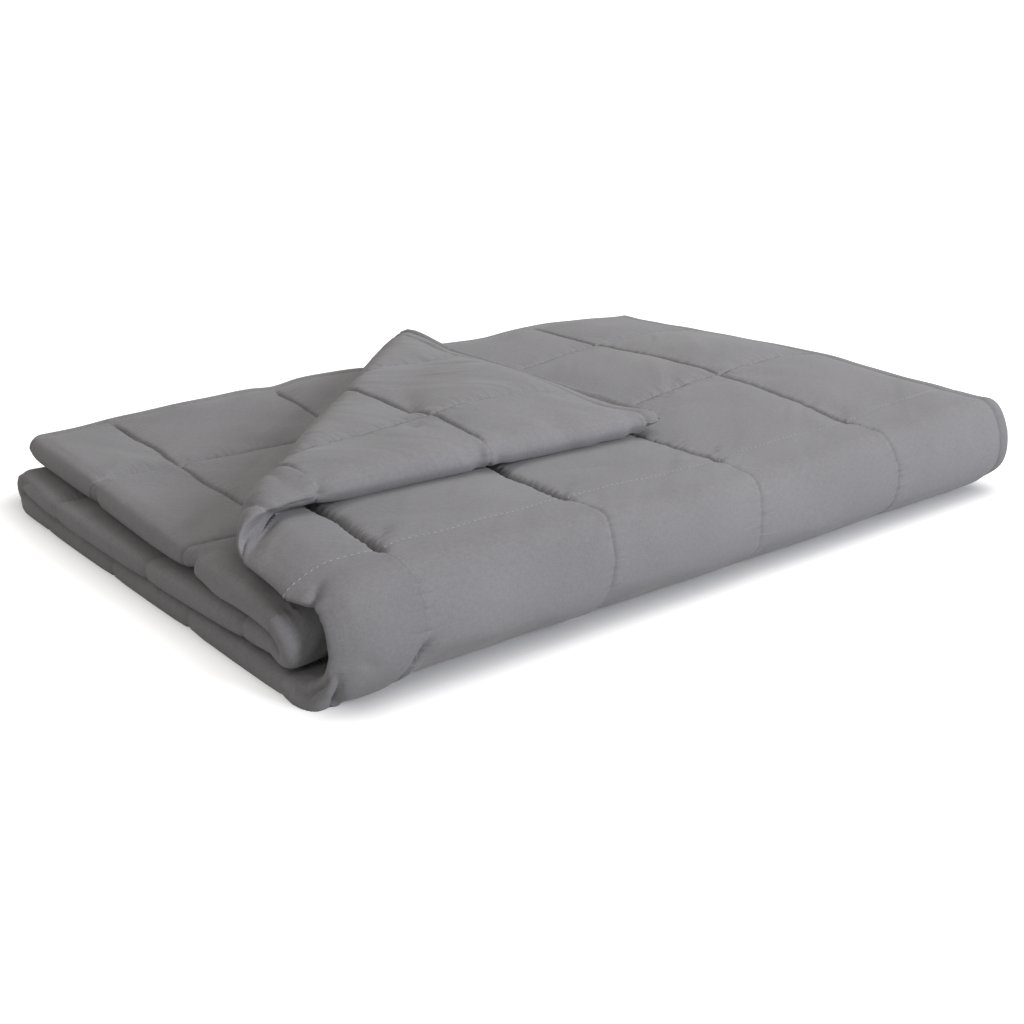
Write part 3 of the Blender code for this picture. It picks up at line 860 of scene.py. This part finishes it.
def outer_offset(heights, column, row):
    """Half the cloth's thickness on its outer side: full in the squares, pinched along seams and hems.

    From a seam it rises as 1 - fall(distance), times the panel's own uneven height.
    """
    to_column_seam, to_row_seam, to_edge = seam_distances(column, row)
    by_column, by_row, front = seam_pull(column, row)
    slope = SEAM_SLOPE + (SLOPE_ON_FRONT - SEAM_SLOPE) * front
    steep = 1 - by_column * fall(to_column_seam, slope)
    steep *= 1 - by_row * fall(to_row_seam, slope)
    panel = np.clip(panel_at(heights, column, row) / PANEL_HEIGHT, 0, PANEL_HIGHEST)
    panel = 1 - np.abs(1 - panel) ** FLAT_TOP * np.sign(1 - panel)
    pull = np.minimum(by_column, np.where(to_row_seam < to_column_seam, by_row, 1))
    full = steep * (1 - PANEL_SHARE * (1 - panel) * pull)
    by_hem = smooth((to_edge - HEM_BAND) / HEM_FADE_OUTSIDE)
    offset = AT_SEAM + (highest_offset(column, row) - AT_SEAM) * full * by_hem
    column_seam, row_seam = np.round(column - FIRST_COLUMN), np.round(row)
    groove = by_column * tightness(row, column_seam + COLUMN_GROOVES) * bump(to_column_seam, GROOVE_WIDTH)
    groove += by_row * tightness(column, row_seam + ROW_GROOVES) * bump(to_row_seam, GROOVE_WIDTH)
    offset -= GROOVE_DEPTH * np.minimum(groove, GROOVE_HIGHEST) * by_hem
    offset += pucker(to_column_seam, row * SQUARE, column_seam) * by_hem * by_column
    offset += pucker(to_row_seam, column * SQUARE, ROW_PUCKERS + row_seam) * by_hem * by_row
    hem_seam = bump(to_edge - HEM_BAND + HEM_SEAM_INSET, HEM_SEAM_WIDTH)
    top_hem = smooth((column - FADE_SHORT) / TOP_HEM_FADE) * smooth((TOP_HEM_ROW - row) / FADE_QUICK)
    hem_seam *= 1 - TOP_HEM_SHALLOWER * top_hem
    offset += HEM_FULL * smooth(to_edge / HEM_ROUND) * (1 - by_hem) - HEM_SEAM_DEPTH * hem_seam
    offset = np.maximum(offset, THINNEST)
    return np.where(to_edge < TINY, AT_EDGE, offset)


def inner_offset(column, row):
    """Half the cloth's thickness on its inner side, which lies against the other half.

    The upper half's hem sticks out past the lower half's, as a thick bead.
    """
    to_edge = seam_distances(column, row)[2]
    by_hem = smooth((to_edge - HEM_BAND) / HEM_FADE_INSIDE)
    offset = AT_SEAM + (PUFFED - AT_SEAM) * by_hem
    bead = np.sin(np.pi * np.clip(row * SQUARE / HEM_BEAD, 0, 1)) * (column > 0)
    return np.where(to_edge < TINY, AT_EDGE, offset + HEM_BEAD_RISE * bead)


def crease(column, row, start_column, start_row, end_column, end_row, depth, width):
    """A soft trough along a straight line, deepest at its middle."""
    line = np.array([end_column - start_column, end_row - start_row]) * SQUARE
    length = np.hypot(*line)
    across = (column - start_column) * SQUARE
    down = (row - start_row) * SQUARE
    share = (across * line[0] + down * line[1]) / length**2
    nearest = np.clip(share, 0, 1)
    away = np.hypot(across - nearest * line[0], down - nearest * line[1])
    lengthwise = CREASE_AT_ENDS + (1 - CREASE_AT_ENDS) * np.sin(np.pi * nearest)
    return CREASE_DEEPER * depth * lengthwise * np.exp(-((away / width) ** CREASE_SHARPNESS))


def sink(column, row):
    """How far the cloth as a whole lies below its even lie, at gathers and creases."""
    down = np.zeros_like(column)
    for seam, first, last, depth, width in GATHERS:
        here = smooth((row - first) / GATHER_STARTS) * smooth((last + GATHER_PAST - row) / GATHER_ENDS)
        ripple = 1 + GATHER_RIPPLE * np.sin(row * SQUARE / GATHER_PITCH * 2 * np.pi)
        down += depth * here * ripple * bump((column - seam) * SQUARE, width)
    for line in CREASES:
        down += crease(column, row, *line)
    upper = np.maximum(column, 0)
    under = smooth((row - np.interp(upper, UNDER_COLUMNS, UNDER_ROWS)) / UNDER_TURN)
    under = under * smooth((UNDER_LAST_ROW - row) / UNDER_LAST_FADE)
    return down + np.interp(upper, UNDER_COLUMNS, UNDER_DEPTHS) * under


def surface(path, heights, column, row, lift=0.0):
    """The outer face at a column and row, raised by lift."""
    return fold_point(path, column, row, outer_offset(heights, column, row) - sink(column, row) + lift)


def square_lines(edges, near):
    """Grid lines between seams, at these distances from each seam."""
    half = np.array(near) * MM / SQUARE
    lines = [np.array([edges[-1]])]
    for start, end in zip(edges[:-1], edges[1:]):
        share = np.concatenate([half, [0.5], 1 - half[:0:-1]])
        lines.append(start + (end - start) * share)
    return np.unique(np.concatenate(lines))


def cloth_lines():
    """The columns and rows of the grid: closer near seams, and far apart between the layers."""
    hem = HEM_BAND / SQUARE
    inside_hem = hem * LINES_IN_HEM[-1]
    by_fold = [np.linspace(*stretch)[:-1] for stretch in COLUMNS_BY_FOLD]
    squares = square_lines(np.arange(FIRST_COLUMN, LAST_COLUMN + FIRST_COLUMN), LINES_IN_SIGHT)
    half = np.concatenate([*by_fold, squares])
    half = half[half < LAST_COLUMN - inside_hem]
    half = np.unique(np.round(np.concatenate([half, LAST_COLUMN - hem * LINES_IN_HEM]), 5))
    columns = np.concatenate([-half[:0:-1], half])
    shown = np.concatenate([
        square_lines(np.arange(0, 5), LINES_IN_SIGHT),
        square_lines(np.arange(11, LAST_ROW + 1), LINES_IN_SIGHT),
    ])
    shown = shown[(shown > inside_hem) & (shown < LAST_ROW - inside_hem)]
    between = square_lines(np.arange(4, 12), LINES_COVERED)
    turns = [np.linspace(*stretch) for stretch in ROWS_IN_TURNS]
    hems = [hem * LINES_IN_HEM, LAST_ROW - hem * LINES_IN_HEM]
    rows = np.unique(np.round(np.concatenate([shown, between, *hems, *turns]), 5))
    keep = np.concatenate([[True], np.diff(rows) > CLOSEST_ROWS])
    keep[-1] = True
    return columns, rows[keep]


def closed_faces(shape):
    """Quads of the outer face, the inner face, and the rim that joins them through the edge line."""
    count = shape[0] * shape[1]
    index = np.arange(count).reshape(shape)
    quads = grid_quads(index)
    round_edge = np.concatenate([index[:-1, 0], index[-1, :-1], index[:0:-1, -1], index[0, :0:-1]])
    following = np.roll(round_edge, -1)
    outer, inner, rim = 0, count, 2 * count
    upper_rim = np.stack([round_edge + outer, following + outer, following + rim, round_edge + rim], -1)
    lower_rim = np.stack([round_edge + rim, following + rim, following + inner, round_edge + inner], -1)
    return np.concatenate([quads + outer, quads[:, ::-1] + inner, upper_rim, lower_rim])


def mesh_of(name, points, faces, uv=None):
    """A smooth mesh from points and quads, with a flat map of the cloth in metres where uv is given."""
    used, renumbered = np.unique(faces, return_inverse=True)
    renumbered = renumbered.reshape(faces.shape)
    mesh = bpy.data.meshes.new(name)
    mesh.vertices.add(len(used))
    mesh.vertices.foreach_set("co", points[used].astype(np.float32).ravel())
    mesh.loops.add(renumbered.size)
    mesh.loops.foreach_set("vertex_index", renumbered.ravel().astype(np.int32))
    mesh.polygons.add(len(renumbered))
    mesh.polygons.foreach_set("loop_start", np.arange(0, renumbered.size, faces.shape[1], dtype=np.int32))
    mesh.update(calc_edges=True)
    mesh.polygons.foreach_set("use_smooth", np.ones(len(renumbered), bool))
    if uv is not None:
        layer = mesh.uv_layers.new(name="cloth_map")
        layer.data.foreach_set("uv", uv[used][renumbered.ravel()].astype(np.float32).ravel())
    return mesh, used


def blanket(path, heights):
    """The whole blanket as one closed mesh, fine where it shows and coarser between the layers."""
    columns, rows = cloth_lines()
    column, row = np.meshgrid(columns, rows, indexing="ij")
    down = sink(column, row)
    outer = outer_offset(heights, column, row) - down
    inner = -inner_offset(column, row) - down
    at_end = np.abs(column) > LAST_COLUMN - TINY
    edge_column = column + np.where(at_end, np.sign(column) * AT_EDGE / 2 / SQUARE, 0)
    points = np.concatenate([
        fold_point(path, column, row, outer).reshape(-1, 3),
        fold_point(path, column, row, inner).reshape(-1, 3),
        fold_point(path, edge_column, row, -down).reshape(-1, 3),
    ])
    flat = np.stack([column, row], -1).reshape(-1, 2) * SQUARE
    uv = np.concatenate([flat, flat, flat])
    mesh, used = mesh_of("quilted_blanket_cloth", points, closed_faces(column.shape), uv)
    piece = bpy.data.objects.new("quilted_blanket_cloth", mesh)
    bpy.context.scene.collection.objects.link(piece)
    to_edge = seam_distances(column, row)[2]
    hidden = np.concatenate([
        (~in_sight(column, row) & (to_edge > FINE_BY_HEM_OUTSIDE)).ravel(),
        (to_edge > FINE_BY_HEM_INSIDE).ravel(),
        np.zeros(column.size, bool),
    ])[used]
    thin_out(piece, hidden)
    return piece


def thin_out(piece, hidden):
    """Merges faces at the hidden points until the piece has few enough triangles."""
    covered = piece.vertex_groups.new(name="covered")
    covered.add(np.nonzero(hidden)[0].tolist(), 1.0, "REPLACE")
    fewer = piece.modifiers.new("fewer_between_layers", "DECIMATE")
    fewer.vertex_group = "covered"
    fewer.ratio = MOST_TRIANGLES / (2 * len(piece.data.polygons))
    applied(piece)
    piece.vertex_groups.clear()


def applied(piece):
    """Makes the modifiers' result the piece's own mesh."""
    graph = bpy.context.evaluated_depsgraph_get()
    mesh = bpy.data.meshes.new_from_object(piece.evaluated_get(graph))
    piece.modifiers.clear()
    piece.data = mesh
    mesh.name = piece.name


def seam_lines():
    """The sewn lines: the columns and rows of closely set points, and whether the thread lies high."""
    in_hem = (HEM_BAND - HEM_SEAM_INSET) / SQUARE
    last_row, last_column = LAST_ROW - in_hem, LAST_COLUMN - in_hem
    across = np.linspace(-last_column, last_column, 2 * SEAM_STEPS)
    down = np.linspace(in_hem, last_row, 4 * SEAM_STEPS)
    lines = [
        (across, np.full_like(across, row), row in (TOP_OF_FRONT_ROW, in_hem, last_row))
        for row in (in_hem, 1, 2, TOP_OF_FRONT_ROW, 11, 12, 13, last_row)
    ]
    lines += [
        (np.full_like(down, side * column), down, column == last_column)
        for column in (*np.arange(FIRST_COLUMN, LAST_COLUMN), last_column)
        for side in (-1, 1)
    ]
    return lines


def stitches(path, heights):
    """The middle lines of the stitches: each a short bow, its ends drawn into the cloth.

    A stitch lies on the cloth along the front's top seam and the hems, and deep in the groove elsewhere.
    """
    bows = []
    shape = np.linspace(0, 1, STITCH_RINGS)
    for column, row, high in seam_lines():
        line = surface(path, heights, column, row, THREAD_LIFT)
        shown = in_sight(column, row)
        length = np.concatenate([[0], np.cumsum(np.linalg.norm(np.diff(line, axis=0), axis=1))])
        starts = np.arange(0, length[-1] - STITCH_LENGTH, STITCH_PITCH)
        visible = np.interp(starts, length, shown.astype(float)) > 0.5
        at = starts[visible][:, None] + shape * STITCH_LENGTH
        columns = np.interp(at, length, column)
        rows = np.interp(at, length, row)
        lift = THREAD_RADIUS * (THREAD_BOW * np.sin(np.pi * shape) - (THREAD_HIGH if high else THREAD_DEEP))
        bows.append(surface(path, heights, columns, rows, lift))
    return np.concatenate(bows)


def thread(path, heights):
    """All stitches as one mesh of small closed tubes, which narrow at their ends as (1 - t^4)^0.5."""
    line = stitches(path, heights)
    count, rings, _ = line.shape
    along = np.gradient(line, axis=1)
    along /= np.linalg.norm(along, axis=-1, keepdims=True)
    side = np.cross(along, NO_STITCH_RUNS)
    side /= np.linalg.norm(side, axis=-1, keepdims=True)
    up = np.cross(side, along)
    angle = np.arange(THREAD_SIDES) / THREAD_SIDES * 2 * np.pi
    radius = THREAD_RADIUS * np.sqrt(np.clip(1 - np.linspace(-THREAD_TAPER, THREAD_TAPER, rings) ** 4, 0, 1))
    circle = (
        side[:, :, None] * np.cos(angle)[:, None] + up[:, :, None] * np.sin(angle)[:, None]
    ) * radius[None, :, None, None]
    points = (line[:, :, None] + circle).reshape(-1, 3)
    index = np.arange(count * rings * THREAD_SIDES).reshape(count, rings, THREAD_SIDES)
    ahead = np.roll(index, -1, axis=2)
    tube = np.stack([index[:, :-1], ahead[:, :-1], ahead[:, 1:], index[:, 1:]], -1).reshape(-1, 4)
    start = index[:, 0][:, [[0, 5, 4, 3], [0, 3, 2, 1]]].reshape(-1, 4)
    end = index[:, -1][:, [[0, 1, 2, 3], [0, 3, 4, 5]]].reshape(-1, 4)
    mesh, _ = mesh_of("quilting_thread", points, np.concatenate([tube, start, end]))
    piece = bpy.data.objects.new("quilting_thread", mesh)
    bpy.context.scene.collection.objects.link(piece)
    return piece


def linear(colour):
    """An sRGB hex colour such as 8a898c as linear red, green, blue and 1."""
    parts = [int(colour[i:i + 2], 16) / 255 for i in (0, 2, 4)]
    return (*[c / 12.92 if c <= 0.04045 else ((c + 0.055) / 1.055) ** 2.4 for c in parts], 1.0)


def node(tree, kind, settings=None, **inputs):
    """Adds a node, sets its settings, and sets or links its inputs by name."""
    made = tree.nodes.new(kind)
    for name, value in (settings or {}).items():
        setattr(made, name, value)
    for name, value in inputs.items():
        socket = made.inputs[int(name[1:])] if name[0] == "_" else made.inputs[name.replace("_", " ")]
        if isinstance(value, bpy.types.NodeSocket):
            tree.links.new(value, socket)
        else:
            socket.default_value = value
    return made


def to_seam(tree, along, shift):
    """Distance of a cloth_map coordinate from the nearest seam: a triangle wave a square long."""
    moved = sum_of(tree, along, shift)
    return node(tree, "ShaderNodeMath", {"operation": "PINGPONG"}, _0=moved, _1=SQUARE / 2).outputs[0]


def fading(tree, distance, reach):
    """exp(-distance / reach)."""
    share = product(tree, distance, -1 / reach)
    return node(tree, "ShaderNodeMath", {"operation": "EXPONENT"}, _0=share).outputs[0]


def sum_of(tree, first, second):
    """first + second."""
    return node(tree, "ShaderNodeMath", {"operation": "ADD"}, _0=first, _1=second).outputs[0]


def product(tree, first, second):
    """first * second."""
    return node(tree, "ShaderNodeMath", {"operation": "MULTIPLY"}, _0=first, _1=second).outputs[0]


def scaled_sum(tree, first, scale, second):
    """first * scale + second."""
    made = node(tree, "ShaderNodeMath", {"operation": "MULTIPLY_ADD"}, _0=first, _1=scale, _2=second)
    return made.outputs[0]


def ranged(tree, value, start, end, low=0.0, high=1.0):
    """low up to start and high from end on, with a straight rise between them."""
    made = node(tree, "ShaderNodeMapRange", Value=value)
    for name, setting in {"From_Min": start, "From_Max": end, "To_Min": low, "To_Max": high}.items():
        made.inputs[name.replace("_", " ")].default_value = setting
    return made.outputs["Result"]


def stretched_noise(tree, flat, along, across, **settings):
    """Noise with these sizes along two directions of the cloth, in metres."""
    sized = node(tree, "ShaderNodeVectorMath", {"operation": "MULTIPLY"},
                 _0=flat, _1=(1 / along, 1 / across, 1))
    return node(tree, "ShaderNodeTexNoise", Vector=sized.outputs[0], Scale=1.0, **settings).outputs["Fac"]


def two_colours(tree, share, first, second):
    """A mix of two sRGB hex colours."""
    mix = node(tree, "ShaderNodeMix", {"data_type": "RGBA"}, Factor=share)
    mix.inputs[6].default_value = linear(first)
    mix.inputs[7].default_value = linear(second)
    return mix.outputs[2]


def woven_threads(tree, flat, across, down):
    """The height of the weave: two sine waves of threads crossing, wobbled, with slubs along both ways."""
    wobble = node(tree, "ShaderNodeTexNoise", Vector=flat, Scale=120.0, Detail=2.0).outputs["Fac"]
    waves = []
    for place in (across, down):
        drawn = scaled_sum(tree, wobble, DRAWN_THREADS, place)
        turns = product(tree, drawn, 2 * np.pi / DRAWN_THREADS)
        waves.append(node(tree, "ShaderNodeMath", {"operation": "SINE"}, _0=turns).outputs[0])
    warp = stretched_noise(tree, flat, SLUB_LENGTH, DRAWN_THREADS, Detail=2.0)
    weft = stretched_noise(tree, flat, DRAWN_THREADS, SLUB_LENGTH, Detail=2.0)
    return scaled_sum(tree, product(tree, *waves), 0.2, sum_of(tree, warp, weft))


def soft_wrinkles(tree, flat, across):
    """The height of slanting wrinkles, in patches, and fewer on the lower half."""
    slanting = node(tree, "ShaderNodeVectorRotate", {"rotation_type": "Z_AXIS"},
                    Vector=flat, Angle=WRINKLE_SLANT)
    patches = ranged(tree, stretched_noise(tree, flat, *WRINKLE_PATCHES, Detail=1.0), 0.32, 0.62)
    by_half = ranged(tree, across, 5 * MM, -5 * MM, WRINKLED_LOWER_HALF)
    noise = stretched_noise(tree, slanting.outputs[0], *WRINKLE_SIZE, Detail=1.0, Distortion=0.5)
    return product(tree, noise, product(tree, patches, by_half))


def fine_puckers(tree, flat, across, down):
    """The height of puckers across the seams, fading away from them. The front's top seam has none."""
    settings = {"Detail": 1.0, "Distortion": 0.3}
    lengthwise = stretched_noise(tree, flat, FINE_PUCKER_LENGTH, FINE_PUCKER_PITCH, **settings)
    crosswise = stretched_noise(tree, flat, FINE_PUCKER_PITCH, FINE_PUCKER_LENGTH, **settings)
    by_column = fading(tree, to_seam(tree, across, SQUARE / 2), FINE_PUCKER_REACH)
    by_row = fading(tree, to_seam(tree, down, 0.0), FINE_PUCKER_REACH)
    at_top = node(tree, "ShaderNodeMath", {"operation": "COMPARE"},
                  _0=down, _1=TOP_OF_FRONT_ROW * SQUARE, _2=SQUARE / 3)
    elsewhere = node(tree, "ShaderNodeMath", {"operation": "SUBTRACT"}, _0=1.0, _1=at_top.outputs[0])
    by_rows = product(tree, product(tree, by_row, crosswise), elsewhere.outputs[0])
    return sum_of(tree, product(tree, by_column, lengthwise), by_rows)


def woven_cotton():
    """Matte plain-woven cotton: fine warp and weft threads, uneven slubs, and a faintly mottled grey dye.

    Soft wrinkles run across it, and fine puckers cross the seams. The real threads are 0.35 mm apart, too
    fine to show, so they are drawn 0.9 mm apart.
    """
    material = bpy.data.materials.new("grey plain-woven cotton")
    material.use_nodes = True
    tree = material.node_tree
    shader = tree.nodes["Principled BSDF"]
    flat = node(tree, "ShaderNodeUVMap", {"uv_map": "cloth_map"}).outputs["UV"]
    place = node(tree, "ShaderNodeTexCoord").outputs["Object"]
    split = node(tree, "ShaderNodeSeparateXYZ", Vector=flat)
    across, down = split.outputs["X"], split.outputs["Y"]
    threads = woven_threads(tree, flat, across, down)
    mottle = node(tree, "ShaderNodeTexNoise", Vector=place, Scale=14.0, Detail=4.0, Roughness=0.55)
    tone = scaled_sum(tree, threads, 0.9, mottle.outputs["Fac"])
    colour = two_colours(tree, ranged(tree, tone, 0.9, 1.9), "767577", "888789")
    fine = node(tree, "ShaderNodeBump", Height=threads, Strength=0.35, Distance=0.15 * MM)
    soft = node(tree, "ShaderNodeBump", Height=soft_wrinkles(tree, flat, across), Strength=1.0,
                Distance=WRINKLE_HEIGHT, Normal=fine.outputs["Normal"])
    drawn_in = node(tree, "ShaderNodeBump", Height=fine_puckers(tree, flat, across, down), Strength=1.0,
                    Distance=FINE_PUCKER_HEIGHT, Normal=soft.outputs["Normal"])
    tree.links.new(colour, shader.inputs["Base Color"])
    tree.links.new(drawn_in.outputs["Normal"], shader.inputs["Normal"])
    shader.inputs["Roughness"].default_value = 0.88
    shader.inputs["Sheen Weight"].default_value = 0.15
    shader.inputs["Sheen Roughness"].default_value = 0.5
    shader.inputs["Specular IOR Level"].default_value = 0.3
    return material


def sewing_thread():
    """Spun polyester sewing thread, two plies twisted, a little lighter than the cloth."""
    material = bpy.data.materials.new("light grey spun thread")
    material.use_nodes = True
    tree = material.node_tree
    shader = tree.nodes["Principled BSDF"]
    place = node(tree, "ShaderNodeTexCoord").outputs["Object"]
    twist = node(tree, "ShaderNodeTexNoise", Vector=place, Scale=1400.0, Detail=1.0).outputs["Fac"]
    ply = node(tree, "ShaderNodeBump", Height=twist, Strength=0.4, Distance=0.1 * MM)
    tree.links.new(two_colours(tree, twist, "8b8a8d", "a5a4a7"), shader.inputs["Base Color"])
    tree.links.new(ply.outputs["Normal"], shader.inputs["Normal"])
    shader.inputs["Roughness"].default_value = 0.6
    return material


def painted_glow_floor():
    """Matt white paper, whiter to the camera than to the cloth. It glows to the camera as painted light,
    from none at a band round the packet to full further out, which cuts off the floor's real shade at a
    painted width.
    """
    material = bpy.data.materials.new("white paper floor with painted glow")
    material.use_nodes = True
    tree = material.node_tree
    shader = tree.nodes["Principled BSDF"]
    seen = node(tree, "ShaderNodeLightPath").outputs["Is Camera Ray"]
    white = ranged(tree, seen, 0, 1, FLOOR_WHITE_TO_CLOTH, FLOOR_WHITE)
    place = node(tree, "ShaderNodeTexCoord").outputs["Object"]
    split = node(tree, "ShaderNodeSeparateXYZ", Vector=place)
    slanted = scaled_sum(tree, split.outputs["Y"], FLOOR_BAND_SLANT, split.outputs["X"])
    level = node(tree, "ShaderNodeCombineXYZ", X=slanted, Y=split.outputs["Y"])
    aside = node(tree, "ShaderNodeVectorMath", {"operation": "ABSOLUTE"}, _0=level.outputs[0])
    past = node(tree, "ShaderNodeVectorMath", {"operation": "SUBTRACT"},
                _0=aside.outputs[0], _1=FLOOR_BAND_FROM)
    past = node(tree, "ShaderNodeVectorMath", {"operation": "MAXIMUM"}, _0=past.outputs[0], _1=(0, 0, 0))
    away = node(tree, "ShaderNodeVectorMath", {"operation": "LENGTH"}, _0=past.outputs[0]).outputs["Value"]
    # Painted light: the glow rises across the band, and only the camera sees it
    glow = node(tree, "ShaderNodeMapRange", {"interpolation_type": "SMOOTHSTEP"}, Value=away)
    glow.inputs["From Max"].default_value = FLOOR_BAND
    glow.inputs["To Max"].default_value = PAINTED_FLOOR_GLOW
    tree.links.new(white, shader.inputs["Base Color"])
    tree.links.new(product(tree, glow.outputs["Result"], seen), shader.inputs["Emission Strength"])
    shader.inputs["Emission Color"].default_value = (1, 1, 1, 1)
    shader.inputs["Roughness"].default_value = 0.9
    shader.inputs["Specular IOR Level"].default_value = 0.0
    return material


def towards(item, target):
    """Turns a lamp or a camera to look at a point."""
    item.rotation_mode = "QUATERNION"
    item.rotation_quaternion = (Vector(target) - item.location).to_track_quat("-Z", "Y")


def add_light(name, place, aim, size, watts, colour):
    """A square soft lamp."""
    lamp = bpy.data.lights.new(name, "AREA")
    lamp.size = size
    lamp.energy = watts
    lamp.color = linear(colour)[:3]
    item = bpy.data.objects.new(name, lamp)
    bpy.context.scene.collection.objects.link(item)
    item.location = place
    towards(item, aim)


def white_sky():
    """An even white sky, brighter to the camera than to the cloth."""
    world = bpy.data.worlds.new("white studio")
    world.use_nodes = True
    tree = world.node_tree
    sky = tree.nodes["Background"]
    sky.inputs["Color"].default_value = linear("fffcf7")
    seen = node(tree, "ShaderNodeLightPath").outputs["Is Camera Ray"]
    tree.links.new(ranged(tree, seen, 0, 1, SKY, SKY_SEEN), sky.inputs["Strength"])
    return world


def studio():
    """A white floor under a white sky, with soft lights at the right, in front, at the left and above."""
    bpy.context.scene.world = white_sky()
    mesh = bpy.data.meshes.new("studio_floor")
    corners = [(x * FLOOR_REACH, y * FLOOR_REACH, 0) for x, y in ((-1, -1), (1, -1), (1, 1), (-1, 1))]
    mesh.from_pydata(corners, [], [(0, 1, 2, 3)])
    mesh.materials.append(painted_glow_floor())
    floor = bpy.data.objects.new("studio_floor", mesh)
    bpy.context.scene.collection.objects.link(floor)
    for light in LIGHTS:
        add_light(*light)
    bpy.context.scene.view_settings.view_transform = "Standard"


def camera():
    """The camera at the photograph's place."""
    turn, tilt = np.radians(CAMERA_AZIMUTH), np.radians(CAMERA_ELEVATION)
    back = Vector((np.sin(turn) * np.cos(tilt), -np.cos(turn) * np.cos(tilt), np.sin(tilt)))
    lens = bpy.data.cameras.new("camera")
    lens.lens = CAMERA_LENS
    lens.sensor_width = 36
    lens.clip_start = 0.01
    item = bpy.data.objects.new("camera", lens)
    bpy.context.scene.collection.objects.link(item)
    item.location = Vector(CAMERA_AIM) + back * CAMERA_DISTANCE
    towards(item, CAMERA_AIM)
    bpy.context.scene.camera = item


def build():
    """Sets up the studio, and makes the cloth and its thread in place of the plain solid."""
    camera()
    studio()
    path = Path()
    heights = quilted_panel()
    cloth = blanket(path, heights)
    cloth.data.materials.append(woven_cotton())
    sewn = thread(path, heights)
    sewn.data.materials.append(sewing_thread())
    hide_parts("quilted_blanket")
    for piece in (cloth, sewn):
        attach(piece, "root")


build()
